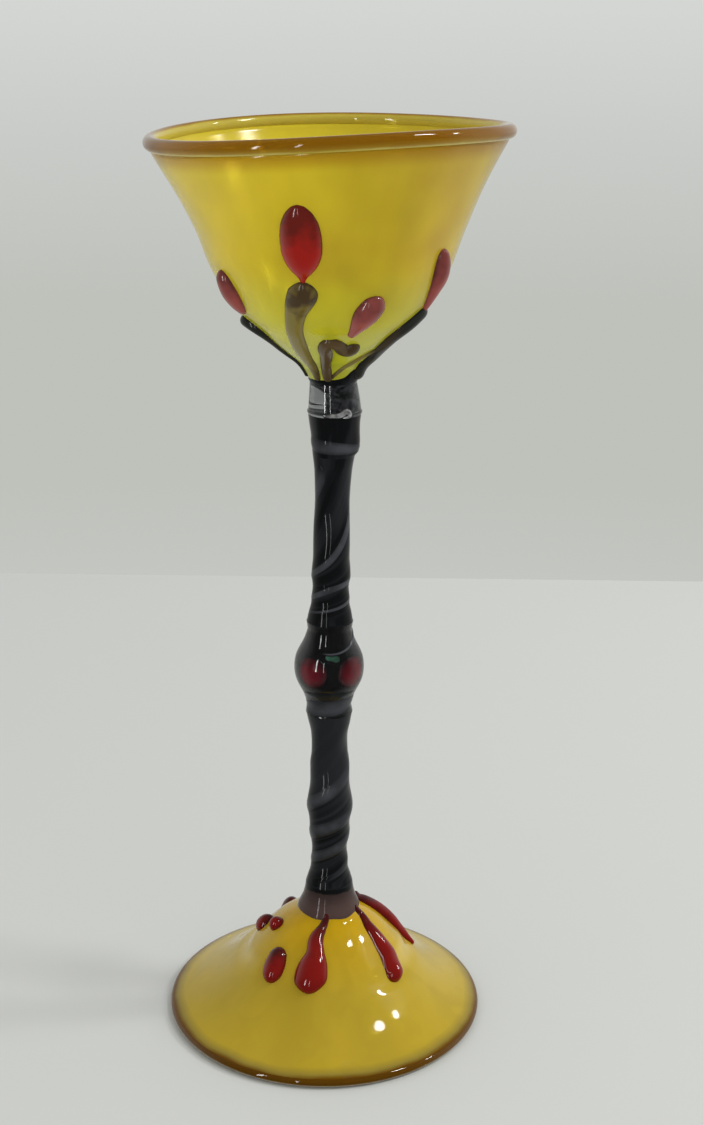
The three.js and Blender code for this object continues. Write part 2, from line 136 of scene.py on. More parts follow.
# Their stalks, from the curled knob below each bud down to the neck
STALKS = (
    (
        ((-163, 0.343), (-156, 0.325), (-151, 0.29), (-152, 0.225), (-160, 0.15), (-168, 0.02)),
        (1.6, 1.4, 0.9, 0.8, 0.7, 0.6),
    ),
    (
        (
            (-101.5, 0.545), (-102.5, 0.495), (-107.5, 0.425),
            (-111.5, 0.35), (-116.5, 0.235), (-124, 0.09), (-126, 0.015),
        ),
        (2.8, 3.5, 3.2, 2.6, 2.3, 2.2, 2.2, 2.2, 2.1, 1.9, 1.7, 1.4, 1),
    ),
    (
        (
            (-70.5, 0.25), (-72, 0.215), (-78, 0.214), (-84.5, 0.25),
            (-90, 0.263), (-94, 0.225), (-94.5, 0.16), (-99, 0.08), (-101, 0.015),
        ),
        (2.1, 2.1, 1.7, 1.8, 1.8, 1.6, 1.4, 1.3, 1.2),
    ),
    (
        ((-21, 0.4), (-29, 0.36), (-36, 0.3), (-36, 0.22), (-28, 0.13), (-24, 0.015)),
        (1.9, 2.1, 2, 1.9, 2, 2),
    ),
    (((50, 0.562), (52, 0.48), (46, 0.36), (52, 0.22), (48, 0.015)), (2.2, 2, 1.6, 1.4, 0.9)),
    (((79, 0.34), (83, 0.29), (92, 0.25), (95, 0.16), (88, 0.015)), (1.9, 1.7, 1.4, 1.2, 0.9)),
)

# The thin strand that leaves the fourth stalk, the grey folds at the foot of the knuckle and of the
# knop, a band of dark glass over the latter that is painted shade on the knop's lower half, the grey
# wisp over the knop's shoulder, the clear curl at the neck's seam, and the dark ring where the stalks
# meet
STRAND = (
    ((-33.4, 0.224), (-44.2, 0.173), (-55.1, 0.125), (-69.8, 0.076), (-92.1, 0.03)),
    (0.5, 0.65, 0.7, 0.6, 0.5),
)
KNUCKLE_FOLD = (((-225, 0.34), (-150, 0.3), (-90, 0.26), (-30, 0.22), (15, 0.2)), (1, 2.4, 2.6, 2, 0.7))
KNOP_FOLD = (((-215, 0.08), (-150, 0.09), (-90, 0.11), (-30, 0.14), (35, 0.16)), (1, 3, 3.4, 3, 1))
KNOP_SHADE = (
    ((-150, 0.265), (-120, 0.26), (-90, 0.262), (-60, 0.27), (-30, 0.28)),
    (0.8, 1.9, 2.3, 1.9, 0.8),
)
KNOP_WISP = (
    ((-108, 0.74), (-85, 0.73), (-62, 0.745), (-40, 0.78), (-15, 0.84), (15, 0.92)),
    (0.3, 0.45, 0.5, 0.6, 0.7, 0.6),
)
# The curl's pale glass is a painted highlight along the neck's seam
NECK_CURL = (
    ((-112, 0.07), (-92, 0.08), (-76, 0.1), (-64, 0.2), (-54, 0.13), (-60, 0.03), (-72, 0.02)),
    (0.3, 0.5, 0.55, 0.7, 0.7, 0.6, 0.4),
)
DARK_RING = (
    (
        (-186, 0.008), (-120, 0.008), (-60, 0.014), (-28, 0.035),
        (0, 0.03), (40, 0.014), (100, 0.008), (186, 0.008),
    ),
    (0.9, 0.9, 1, 1.1, 1.6, 2.8, 2.4, 1.5, 1, 0.9, 0.9, 0.9, 0.9),
)

# Drips down the foot, from the collar down
DRIPS = (
    (
        ((-93, 0.999), (-97, 0.93), (-104, 0.83), (-102, 0.73), (-102, 0.6), (-100.5, 0.477)),
        (0.9, 1.2, 2, 2.4, 3.9, 4.4, 3.3),
    ),
    (((-138, 0.705), (-134, 0.6), (-130.5, 0.485)), (2.2, 3.1, 2.7)),
    (
        ((-27, 0.999), (-21, 0.93), (-28.5, 0.84), (-31, 0.74), (-32, 0.62), (-35.5, 0.46)),
        (0.9, 1.2, 1.8, 2.4, 2.9, 2.6),
    ),
    (((32, 0.999), (29, 0.8), (23, 0.63), (16, 0.415)), (1, 1.7, 1.9, 1.5, 0.6)),
    (((80, 0.999), (83, 0.74), (84, 0.515)), (1.6, 2, 3.2)),
    (((126, 0.7), (124, 0.6), (123, 0.5)), (1.8, 2.4, 2)),
    (((166, 0.735), (167.5, 0.67), (169, 0.6)), (1.9, 2.6, 2.1)),
    (((-170, 0.83), (-167, 0.785), (-163, 0.735)), (1.5, 2.1, 1.7)),
)

# Round the knop, in degrees: the azimuth of the first berry and of the first leaf, and half of the
# span of a leaf, with how many there are of each
BERRY_FIRST_AZIMUTH = -127
BERRY_COUNT = 4
LEAF_FIRST_AZIMUTH = -82
LEAF_COUNT = 2
LEAF_HALF_SPAN = 16

# How the glass strays from true: the turn of the lip's wave in degrees, the sizes of the ripples in
# the foot and in the bowl, how far a ripple in the bowl is drawn out upwards, the height over which it
# sets in, and the radius within which nothing strays fully
RIM_WAVE_AZIMUTH = 43
FOOT_RIPPLE_SIZE = 11 * MM
BOWL_RIPPLE_SIZE = 13 * MM
BOWL_RIPPLE_DRAW = 0.7
BOWL_RIPPLE_START = 12 * MM
TRUE_RADIUS = 3 * MM

# The soft folds round the foot's dome and the grooves beside it: their turn in radians, then the radii
# between which they rise and fall. The grooves start at a share of the way to the sides.
FOLD_COUNT = 5
FOLD_TURN = 1.1
FOLD_BAND = (10 * MM, 17 * MM, 21 * MM, 33 * MM)
GROOVE_TURN = 0.35
GROOVE_BAND = (19.5 * MM, 21.5 * MM, 21.5 * MM, 25 * MM)
GROOVE_START = 0.6

# The heights and the radii between which the foot passes from true to straying
FOOT_STRAY_HEIGHTS = (2.5 * MM, 9 * MM)
FOOT_STRAY_RADII = (9 * MM, 14 * MM)

# The heights over the knuckle's lower end between which its lump rises and falls
LUMP_BAND = (-0.3 * MM, 1.2 * MM, 2.5 * MM, 9 * MM)

# How far the twist takes to fade in above a stem's lower end and to fade out below its upper end, and
# the turn in radians for each millimetre of stem above which it is too tight to bulge fully
TWIST_FADES_IN = 5 * MM
TWIST_FADES_OUT = 6 * MM
LOOSE_TWIST = 0.2


def mix(low, high, share):
    return low + (high - low) * share


def ease(value, low, high):
    """A share from 0 at low to 1 at high, flat at both ends."""
    share = min(max((value - low) / (high - low), 0), 1)
    return share * share * (3 - 2 * share)


def band(value, low, full, falling, high):
    """A share that rises from 0 at low to 1 at full, and falls from there to 0 at high."""
    return ease(value, low, full) * (1 - ease(value, falling, high))


def linear(hex_colour):
    """A colour written as sRGB hex, in the linear values that the shader works in."""
    parts = [int(hex_colour[i : i + 2], 16) / 255 for i in (1, 3, 5)]
    return tuple(part / 12.92 if part < 0.04045 else ((part + 0.055) / 1.055) ** 2.4 for part in parts)


# Sizes and colours that a user would change


def length(name, description, millimetres):
    return FloatProperty(
        name=name, description=description, default=millimetres * MM, unit="LENGTH", subtype="DISTANCE"
    )


def tint(name, description, hex_colour):
    return FloatVectorProperty(
        name=name, description=description, default=linear(hex_colour),
        size=3, min=0, max=1, subtype="COLOR",
    )


class WineGlassSizes(bpy.types.PropertyGroup):
    """Sizes of the glass that the frame's boxes don't give."""

    bowl_height: length("Bowl height", "From the neck collar up to the lip", 55.8)
    bowl_bottom: length("Bowl bottom radius", "Where the bowl sits on the neck collar", 5.7)
    bowl_wall: length("Bowl wall", "Thickness of the bowl's wall", 1.9)
    bowl_floor: length("Bowl floor", "Solid glass under the bowl's inside", 4.8)
    lip_radius: length("Lip wrap radius", "Of the trail round the lip", 1.7)
    foot_wall: length("Foot wall", "Thickness of the domed foot", 2.6)
    foot_edge: length("Foot edge", "Height of the foot's outer edge", 3.3)
    foot_rest: length("Foot rest width", "Of the flat ring that the glass stands on", 2.2)
    foot_wrap: length("Foot wrap radius", "Of the trail round the foot's edge", 1.25)
    upper_stem: length("Upper stem radius", "About which the upper stem swells", 4.6)
    lower_stem: length("Lower stem radius", "About which the lower stem swells", 5)
    lower_stem_end: length("Lower stem end radius", "Where the lower stem meets the foot collar", 6.15)
    knop_bottom: length("Knop bottom radius", "Where the knop meets the lower stem", 5.9)
    knop_top: length("Knop top radius", "Where the knop meets the upper stem", 5.8)
    knop_core: length("Knop core radius", "Of the dark glass behind the berries", 6.2)
    knop_waist: length("Knop waist radius", "Above and below the berries", 5.3)
    knuckle_end: length("Knuckle bottom radius", "Where the knuckle meets the upper stem", 5.2)
    berry_radius: length("Berry radius", "Of each red berry in the knop", 4)
    berry_rise: length("Berry rise", "How far a berry stands out from the core", 0.8)
    leaf_lift: length("Leaf lift", "Of the leaves over the middle of the berries", 4)
    leaf_width: length("Leaf half width", "Of each green leaf in the knop", 0.9)
    leaf_rise: length("Leaf rise", "How far a leaf stands out from the core", 0.4)
    bud_rise: length("Bud rise", "How far a bud stands out from the bowl", 2)
    stalk_rise: length("Stalk rise", "How far a stalk stands out from the bowl", 1.3)
    drip_rise: length("Drip rise", "How far a drip stands out from the foot", 2)
    trail_rise: length("Trail rise", "How far a trail stands out from the stem", 0.16)
    trail_width: length("Trail half width", "Of the trails twisted round the stems", 2.1)
    seat_gap: length("Seat gap", "The frame's gap between curved pieces, closed here by fused glass", 0.3)
    sink: length("Sink", "How deep laid glass melts into the wall under it", 0.2)
    rim_tilt: length("Rim tilt", "How far the lip leans up towards +X", 1.7)
    rim_wave: length("Rim wave", "How far the lip waves up and down", 0.7)
    ripple: length("Ripple", "How far the blown walls stray from round", 0.22)
    twist_lobe: length("Twist lobe", "How far the twisted stems bulge along the twist", 0.28)
    collar_skirt: length("Collar skirt", "How far the foot's collar runs down over the foot", 1.8)
    foot_fold: length("Foot fold", "How far the soft folds round the foot's dome rise", 0.35)
    foot_groove: length("Foot groove", "Depth of the soft grooves at both sides of the foot's dome", 1.1)
    knuckle_lump: length("Knuckle lump", "How far the knuckle's lower end bulges towards +X", 0.8)
    ring_rise: length("Dark ring rise", "How far the dark ring stands out from the bowl's bottom", 0.35)
    strand_rise: length("Strand rise", "How far the thin strand stands out from the bowl", 0.6)
    curl_rise: length("Curl rise", "How far the clear curl stands out from the neck", 0.6)
    neck_bead: length("Neck bead", "How far the seam under the neck collar stands out", 0.25)


class WineGlassColours(bpy.types.PropertyGroup):
    """Colours of the glass and of the studio."""

    yellow: tint("Opal yellow", "The bowl's main colour", "#feea3e")
    lime: tint("Lime", "The bowl's greener clouds", "#eef640")
    # Painted highlight: the pale colour laid along the creases at both sides of the foot's dome
    painted_crease_highlight: tint("Crease", "The pale creases at both sides of the foot's dome", "#ffe890")
    ochre: tint("Ochre", "The bowl's warmer clouds", "#d6ae32")
    amber: tint("Amber", "The middle of the foot", "#e2b61a")
    foot_yellow: tint("Foot yellow", "The outside of the foot", "#d8ba38")
    foot_edge: tint("Foot edge", "The greyer glass at the foot's edge", "#ac963e")
    foot_brown: tint("Foot brown", "The trail round the foot", "#7a5006")
    brown: tint("Brown", "The trail round the lip", "#96640e")
    bud_red: tint("Bud red", "The bright end of a bud", "#a82018")
    # Painted sheen: the buds other than the big one are painted paler and pinker for the hazy reflection on
    # them
    bud_maroon: tint("Bud maroon", "The dark end of a bud", "#702018")
    bud_sheen_pale_painted: tint("Bud haze", "The paler end of the hazy buds", "#a0504a")
    bud_sheen_dark_painted: tint("Bud haze dark", "The darker end of the hazy buds", "#7a3e3a")
    stalk: tint("Stalk brown", "The stalks in front", "#84763a")
    stalk_umber: tint("Stalk umber", "The middles of the other stalks", "#5c4a30")
    stalk_grey: tint("Stalk grey", "The darker knobs of the stalks", "#4c3c26")
    drip: tint("Drip red", "The drips on the foot", "#7c1612")
    black: tint("Black", "The dark glass of the stem", "#131415")
    smoke: tint("Smoke", "The paler streaks of the stem", "#484a4e")
    casing: tint("Casing", "The smoky clear glass round the knop and the neck", "#a8a9ac")
    # Painted highlight: the pale colour of the curl at the neck's seam
    curl: tint("Curl", "The airy curl at the neck's seam", "#d4d6d6")
    berry: tint("Berry", "The berries in the knop", "#f01c42")
    leaf: tint("Leaf", "The leaves in the knop", "#8cf4c4")
    collar: tint("Collar skirt", "The reddish smoke where the foot's collar meets the foot", "#50403c")
    stalk_dark: tint("Stalk black", "The stalks at the sides", "#2c2c28")
    # Painted light: the amber that light through the lip's brown trail gives the bowl just under it
    lip_glow_amber: tint("Lip amber", "The bowl where the lip's trail has bled into it", "#c08c1c")
    lip_inside: tint("Lip inside", "The inner side of the lip's trail", "#f2e264")
    floor: tint("Floor", "The pale table", "#cdcfcb")


# The frame's heights and radii


def lowest(node):
    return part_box(node)[0].z


def highest(node):
    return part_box(node)[1].z


def half_width(node):
    """The radius of a round node, across the direction in which the glass never bends."""
    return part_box(node)[1].y


class GlassLine:
    """A smooth line through a few flat points, measured along its own length."""

    def __init__(self, points):
        points = [Vector(point) for point in points]
        self.places = [points[0]]
        for i, (start, end) in enumerate(zip(points, points[1:])):
            before = points[max(i - 1, 0)]
            after = points[min(i + 2, len(points) - 1)]
            leave = start + (end - before) / 6
            arrive = end - (after - start) / 6
            self.places += interpolate_bezier(start, leave, arrive, end, SPAN_STEPS)[1:]
        self.reached = [0.0]
        for start, end in zip(self.places, self.places[1:]):
            self.reached.append(self.reached[-1] + (end - start).length)
        self.length = self.reached[-1]

    def at(self, way):
        """The point at a share of the length, and the line's direction there."""
        goal = way * self.length
        i = min(max(bisect_right(self.reached, goal), 1), len(self.places) - 1)
        start, end = self.places[i - 1], self.places[i]
        share = (goal - self.reached[i - 1]) / (self.reached[i] - self.reached[i - 1])
        return start.lerp(end, share), (end - start).normalized()

    def off(self, way, distance):
        """The point at a share of the length, moved out to the line's right."""
        place, along = self.at(way)
        return place + Vector((along.y, -along.x)) * distance

    def spread(self, low=0.0, high=1.0, step=WALL_STEP, distance=0.0):
        """Evenly spaced points from one share of the length to another."""
        count = max(2, math.ceil(abs(high - low) * self.length / step))
        return [self.off(mix(low, high, i / count), distance) for i in range(count + 1)]

    def across_at(self, height):
        """The first coordinate where the line, which only climbs, passes a height."""
        heights = [place.y for place in self.places]
        i = min(max(bisect_right(heights, height), 1), len(heights) - 1)
        share = (height - heights[i - 1]) / (heights[i] - heights[i - 1])
        return mix(self.places[i - 1].x, self.places[i].x, min(max(share, 0), 1))


def between(values, share):
    """A value on a smooth curve through evenly spaced ones."""
    step = share * (len(values) - 1)
    i = min(int(step), len(values) - 2)
    t = step - i
    start, end = values[i], values[i + 1]
    leave = (end - values[max(i - 1, 0)]) / 2
    arrive = (values[min(i + 2, len(values) - 1)] - start) / 2
    cubic = 2 * (start - end) + leave + arrive
    square = 3 * (end - start) - 2 * leave - arrive
    return ((cubic * t + square) * t + leave) * t + start


class TrueGlass:
    """The heights and walls that the pieces share, and how the hand-made glass strays from them."""

    def __init__(self, sizes):
        self.sizes = sizes
        self.foot_top = highest("foot")
        self.stem_bottom = highest("foot_collar")
        self.knop_bottom = lowest("knop_core")
        self.knop_top = highest("knop_core")
        self.knuckle_bottom = lowest("stem_knuckle")
        self.neck_bottom = lowest("neck_collar")
        self.bowl_bottom = lowest("bowl")
        self.bowl_top = self.bowl_bottom + sizes.bowl_height

        self.foot_radius = half_width("foot")
        self.collar_radius = half_width("foot_collar")
        self.neck_radius = half_width("neck_collar")
        self.bowl_radius = half_width("bowl")

        self.bowl = GlassLine(
            (mix(sizes.bowl_bottom, self.bowl_radius, out), mix(self.bowl_bottom, self.bowl_top, up))
            for up, out in BOWL_SHAPE
        )
        self.foot = GlassLine(
            (mix(self.collar_radius, self.foot_radius, out), mix(self.foot_top, sizes.foot_edge, down))
            for out, down in FOOT_SHAPE
        )
        self.foot_collar = self.collar(
            "foot_collar", self.collar_radius, sizes.lower_stem_end, FOOT_COLLAR_SHARES
        )
        self.lower_stem = self.upright(
            "lower_stem",
            [
                sizes.lower_stem_end, *(sizes.lower_stem + swell * MM for swell in LOWER_SWELL),
                sizes.knop_bottom,
            ],
        )
        self.knop = self.upright(
            "knop_core",
            [
                sizes.knop_bottom, sizes.knop_waist, sizes.knop_core,
                sizes.knop_core, sizes.knop_waist, sizes.knop_top,
            ],
        )
        self.upper_stem = self.upright(
            "upper_stem",
            [sizes.knop_top, *(sizes.upper_stem + swell * MM for swell in UPPER_SWELL), sizes.knuckle_end],
        )
        self.knuckle = self.collar("stem_knuckle", sizes.knuckle_end, self.neck_radius, KNUCKLE_SHARES)
        self.neck = self.collar("neck_collar", self.neck_radius, sizes.bowl_bottom, NECK_SHARES)

        self.upper_twist = self.twist(self.upper_stem, UPPER_TWIST)
        self.lower_twist = self.twist(self.lower_stem, LOWER_TWIST)

        # Sideways offset of the axis, towards +X, at each height
        self.sway = (
            (0, 0),
            (self.foot_top, 1 * MM),
            (mix(self.stem_bottom, self.knop_bottom, 0.5), 0.95 * MM),
            (mix(self.knop_bottom, self.knop_top, 0.5), 0.5 * MM),
            (mix(self.knop_top, self.knuckle_bottom, 0.5), 0.85 * MM),
            (self.neck_bottom, 1.35 * MM),
            (mix(self.bowl_bottom, self.bowl_top, 0.2), 0.3 * MM),
            (mix(self.bowl_bottom, self.bowl_top, 0.6), 0),
            (self.bowl_top, -0.3 * MM),
        )

    def upright(self, node, radii):
        """A stem piece's wall, through radii at even heights."""
        low, high = lowest(node), highest(node)
        last = len(radii) - 1
        return GlassLine((radius, mix(low, high, i / last)) for i, radius in enumerate(radii))

    def collar(self, node, bottom, top, shares):
        return self.upright(node, [mix(bottom, top, share) for share in shares])

    def twist(self, wall, rows):
        """Azimuths in radians against heights, for the twist of a stem."""
        low, high = wall.places[0].y, wall.places[-1].y
        return GlassLine((math.radians(azimuth) * MM, mix(low, high, way)) for way, azimuth, _ in rows)

    def sway_at(self, z):
        for (low_z, low), (high_z, high) in zip(self.sway, self.sway[1:]):
            if z < high_z:
                return mix(low, high, ease(z, low_z, high_z))
        return self.sway[-1][1]

    def twist_at(self, z):
        """How far the stem's glass has turned at a height, and how strongly it bulges there."""
        for line, low, high in (
            (self.lower_twist, self.stem_bottom, self.knop_bottom),
            (self.upper_twist, self.knop_top, self.knuckle_bottom),
        ):
            if low < z < high:
                fade = band(z, low, low + TWIST_FADES_IN, high - TWIST_FADES_OUT, high)
                turn = line.across_at(z) / MM
                steepness = abs(line.across_at(z + 0.5 * MM) / MM - turn) * 2
                return turn, fade * min(1, LOOSE_TWIST / max(steepness, LOOSE_TWIST))
        return 0.0, 0.0

    def stray(self, bm):
        """Moves a true piece to where the hand-made glass has it."""
        sizes = self.sizes
        turns = {}
        drawn = bm.verts.layers.float_vector.new("drawn")
        for vert in bm.verts:
            x, y, z = vert.co
            azimuth = math.atan2(y, x)
            radius = math.hypot(x, y)
            key = round(z / TURN_STEP)
            if key not in turns:
                turns[key] = self.twist_at(z)
            turn, bulge = turns[key]
            vert[drawn] = (radius * math.cos(azimuth - turn), radius * math.sin(azimuth - turn), z)

            if z < self.foot_top:
                lift = sizes.ripple * noise.noise(Vector((x, y, 0)) / FOOT_RIPPLE_SIZE)
                fold = sizes.foot_fold * math.cos(FOLD_COUNT * azimuth + FOLD_TURN)
                lift += fold * band(radius, *FOLD_BAND)
                groove = sizes.foot_groove * band(radius, *GROOVE_BAND)
                lift -= groove * ease(abs(math.cos(azimuth + GROOVE_TURN)), GROOVE_START, 1)
                z += lift * ease(z, *FOOT_STRAY_HEIGHTS) * ease(radius, *FOOT_STRAY_RADII)
            out = sizes.twist_lobe * bulge * math.cos(2 * (azimuth - turn))
            if z > self.bowl_bottom:
                strength = sizes.ripple * ease(z, self.bowl_bottom, self.bowl_bottom + BOWL_RIPPLE_START)
                out += strength * noise.noise(Vector((x, y, z * BOWL_RIPPLE_DRAW)) / BOWL_RIPPLE_SIZE)
            lump = band(z - self.knuckle_bottom, *LUMP_BAND)
            out += sizes.knuckle_lump * lump * max(0, math.cos(azimuth)) ** 2
            out *= min(1, radius / TRUE_RADIUS)
            x += out * math.cos(azimuth)
            y += out * math.sin(azimuth)

            share = ease(z, mix(self.bowl_bottom, self.bowl_top, 0.5), self.bowl_top)
            tilt = sizes.rim_tilt * math.cos(azimuth)
            wave = sizes.rim_wave * math.cos(2 * azimuth - math.radians(RIM_WAVE_AZIMUTH))
            vert.co = (x + self.sway_at(vert.co.z), y, z + share * (tilt - wave))


# Shapes of glass


def turned(outline, steps=ROUND_STEPS, closed=False):
    """A body of revolution about Z from an outline of radius and height."""
    bm = bmesh.new()
    verts = [bm.verts.new((radius, 0, z)) for radius, z in outline]
    pairs = list(zip(verts, verts[1:]))
    if closed:
        pairs.append((verts[-1], verts[0]))
    edges = [bm.edges.new(pair) for pair in pairs]
    bmesh.ops.spin(
        bm, geom=verts + edges, cent=(0, 0, 0), axis=(0, 0, 1), angle=FULL_TURN, steps=steps, use_merge=True
    )
    bmesh.ops.remove_doubles(bm, verts=bm.verts, dist=WELD)
    bmesh.ops.recalc_face_normals(bm, faces=bm.faces)
    return bm


def laid(glass, wall, route, half_widths, rise, softness=1.2, round_steps=LAID_ROUND_STEPS):
    """A drop or trail of hot glass drawn out along a route on a wall, melted into it at the back.

    Its ridge stands off the wall by the rise where it is widest. A softer one has a thinner edge,
    as glass that has melted further into the wall.
    """
    sizes = glass.sizes
    mean_way = sum(way for _, way in route) / len(route)
    radius = wall.at(mean_way)[0].x
    path = GlassLine((math.radians(azimuth) * radius, way * wall.length) for azimuth, way in route)
    widest = max(half_widths)
    steps = max(LAID_LEAST_STEPS, math.ceil(path.length / LAID_STEP))
    bm = bmesh.new()
    bmesh.ops.create_uvsphere(bm, u_segments=round_steps, v_segments=steps, radius=1)
    place = bm.verts.layers.float_vector.new("laid")
    for vert in bm.verts:
        x, y, z = vert.co
        share = min(max((1 - z) / 2, 0), 1)
        off_axis = math.hypot(x, y)
        is_pole = off_axis < 1e-5
        across = 0 if is_pole else x / off_axis
        up = 0 if is_pole else max(0, y / off_axis)
        end = (half_widths[0] if share < 0.5 else half_widths[-1]) * MM
        from_end = min(share, 1 - share) * path.length
        rounding = math.sqrt(1 - (1 - min(from_end / end, 1)) ** 2)
        half_width_here = between(half_widths, share) * rounding * MM
        middle, along = path.at(share)
        reach = across * half_width_here
        way = min(max((middle.y + along.x * reach) / wall.length, 0), 1)
        top = rise * half_width_here / (widest * MM)
        local = wall.off(way, mix(-sizes.sink, top, up**softness))
        azimuth = middle.x / radius - along.y * reach / wall.at(way)[0].x
        vert.co = (local.x * math.cos(azimuth), local.x * math.sin(azimuth), local.y)
        vert[place] = (share, across, up)
    bmesh.ops.recalc_face_normals(bm, faces=bm.faces)
    return bm


def ring(middle, radius, squash=1.0):
    """A round trail that runs once about the axis, which keeps how far out and up each point lies."""
    outline = [
        (middle[0] + radius * math.cos(FULL_TURN * i / RING_STEPS),
         middle[1] + radius * squash * math.sin(FULL_TURN * i / RING_STEPS))
        for i in range(RING_STEPS)
    ]
    bm = turned(outline, closed=True)
    section = bm.verts.layers.float_vector.new("section")
    for vert in bm.verts:
        out = (math.hypot(vert.co.x, vert.co.y) - middle[0]) / radius
        vert[section] = (out, (vert.co.z - middle[1]) / (radius * squash), 0)
    return bm


def finish_piece(glass, name, bm, material, slot, *nodes):
    """Lets the glass stray, and makes it a smooth piece that stands for its nodes."""
    glass.stray(bm)
    mesh = bpy.data.meshes.new(name)
    bm.to_mesh(mesh)
    bm.free()
    mesh.polygons.foreach_set("use_smooth", [True] * len(mesh.polygons))
    mesh.set_sharp_from_angle(angle=SHARP_ANGLE)
    mesh.materials.append(material)
    piece = bpy.data.objects.new(name, mesh)
    bpy.context.scene.collection.objects.link(piece)
    if nodes:
        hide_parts(*nodes)
    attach(piece, "root")


def rod(outline):
    """A solid round piece of the stem, closed at both ends of its outline."""
    return turned([(0, outline[0][1]), *outline, (0, outline[-1][1])], STEM_ROUND_STEPS)


def lay(glass, wall, laying, rise, name, material, slot, *nodes, **shape):
    """Lays hot glass on a wall as a piece. Its laying is its route and its half widths."""
    finish_piece(glass, name, laid(glass, wall, *laying, rise, **shape), material, slot, *nodes)


# Materials

# The refraction of common glass, and of the table's finish
GLASS_IOR = 1.5


def node(tree, kind, inputs, stops=(), **settings):
    """Adds one node with its settings, its colour stops, and its values or links.

    A stop takes a colour or a grey level. An input that is given a node takes its first socket.
    """
    made = tree.nodes.new("ShaderNode" + kind)
    for name, value in settings.items():
        setattr(made, name, value)
    for i, (position, colour) in enumerate(stops):
        elements = made.color_ramp.elements
        element = elements[i] if i < len(elements) else elements.new(position)
        element.position = position
        element.color = (*((colour,) * 3 if isinstance(colour, (int, float)) else colour), 1)
    for name, value in inputs.items():
        socket = made.inputs[name]
        if isinstance(value, bpy.types.Node):
            value = value.outputs[0]
        if isinstance(value, bpy.types.NodeSocket):
            tree.links.new(value, socket)
        else:
            socket.default_value = (*value, 1) if socket.type == "RGBA" else value
    return made


def glass_material(name, paint, roughness, gloss=0.5, clear=0.0):
    """A material whose painter gives the base colour, with its finish on the shader's own sockets."""
    material = bpy.data.materials.get(name)
    if material:
        return material
    material = bpy.data.materials.new(name)
    material.use_nodes = True
    tree = material.node_tree
    tree.nodes.clear()
    finish = {
        "Roughness": roughness, "IOR": GLASS_IOR, "Specular IOR Level": gloss, "Transmission Weight": clear,
    }
    shader = node(tree, "BsdfPrincipled", {**finish, "Base Color": paint(tree)})
    node(tree, "OutputMaterial", {"Surface": shader})
    return material


def colours():
    return bpy.context.scene.wine_glass_colours


def blend(first, second, share):
    return [mix(a, b, share) for a, b in zip(first, second)]


def clouds(tree, size, detail=2.0, stretch=(1, 1, 1), vector=None):
    """Soft noise whose clouds have a real size, drawn out by a stretch."""
    vector = vector or node(tree, "TexCoord", {}).outputs["Object"]
    mapped = node(tree, "Mapping", {"Vector": vector, "Scale": stretch})
    return node(tree, "TexNoise", {"Vector": mapped, "Scale": 1 / size, "Detail": detail})


def laid_parts(tree):
    """Of laid glass: the share along its route, -1 to 1 across it, and how far up its ridge."""
    place = node(tree, "Attribute", {}, attribute_name="laid").outputs["Vector"]
    return node(tree, "SeparateXYZ", {"Vector": place}).outputs


def spokes(tree):
    """From the axis straight out to the point, and the same as a unit vector."""
    place = node(tree, "TexCoord", {}).outputs["Object"]
    flat = node(tree, "VectorMath", {0: place, 1: (1, 1, 0)}, operation="MULTIPLY")
    return flat, node(tree, "VectorMath", {0: flat}, operation="NORMALIZE")


def beside(tree, spoke, low, high, most=1.0):
    """None in front and behind, rising to the most at both sides of the glass."""
    across = node(tree, "SeparateXYZ", {"Vector": spoke}).outputs["X"]
    across = node(tree, "Math", {0: across}, operation="ABSOLUTE")
    return node(tree, "MapRange", {"Value": across, "From Min": low, "From Max": high, "To Max": most})


def shaded(tree, colour, shade):
    return node(tree, "MixRGB", {"Fac": 1.0, "Color1": colour, "Color2": shade}, blend_type="MULTIPLY")


def clouded(name, size, stops, detail=2.0, **finish):
    """A material whose colour drifts in clouds of one real size."""

    def paint(tree):
        return node(tree, "ValToRGB", {"Fac": clouds(tree, size, detail)}, stops)

    return glass_material(name, paint, **finish)


def opal_yellow_glass():
    """Opal glass, blown: milky yet see-through, greener below, warmer aside, amber under the lip as painted
    light.
    """

    def paint(tree):
        tone = colours()
        place = node(tree, "TexCoord", {}).outputs["Object"]
        aside, _, height = node(tree, "SeparateXYZ", {"Vector": place}).outputs
        blown = node(tree, "Attribute", {}, attribute_name="blown").outputs["Vector"]
        rise, outside, _ = node(tree, "SeparateXYZ", {"Vector": blown}).outputs
        drift = node(tree, "Math", {0: outside, 1: 0.12, 2: -0.12}, operation="MULTIPLY_ADD")
        drift = node(tree, "Math", {0: aside, 1: 5.0, 2: drift}, operation="MULTIPLY_ADD")
        drift = node(tree, "Math", {0: clouds(tree, 26 * MM), 1: 0.5, 2: drift}, operation="MULTIPLY_ADD")
        warm = node(tree, "ValToRGB", {"Fac": drift}, ((0.22, tone.yellow), (0.48, tone.ochre)))
        low = lowest("bowl")
        green = node(
            tree, "MapRange",
            {"Value": height, "From Min": low + 30 * MM, "From Max": low + 8 * MM, "To Max": 0.8},
        )
        warm = node(tree, "MixRGB", {"Fac": green, "Color1": warm, "Color2": tone.lime})
        fine = clouds(tree, 9 * MM, stretch=(1, 1, 0.35))
        colour = shaded(tree, warm, node(tree, "ValToRGB", {"Fac": fine}, ((0.35, 0.93), (0.65, 1))))
        # Painted light: amber on the outside just under the lip, for the light that the lip's brown trail
        # passes into the wall
        lip_glow_painted = node(
            tree, "MapRange", {"Value": rise, "From Min": 0.93, "From Max": 1.0, "To Max": 0.75},
            interpolation_type="SMOOTHSTEP",
        )
        lip_glow_painted = node(tree, "Math", {0: lip_glow_painted, 1: outside}, operation="MULTIPLY")
        return node(tree, "MixRGB", {"Fac": lip_glow_painted, "Color1": colour, "Color2": tone.lip_glow_amber})

    return glass_material("opal_yellow_glass_blown", paint, roughness=0.13, clear=0.52)


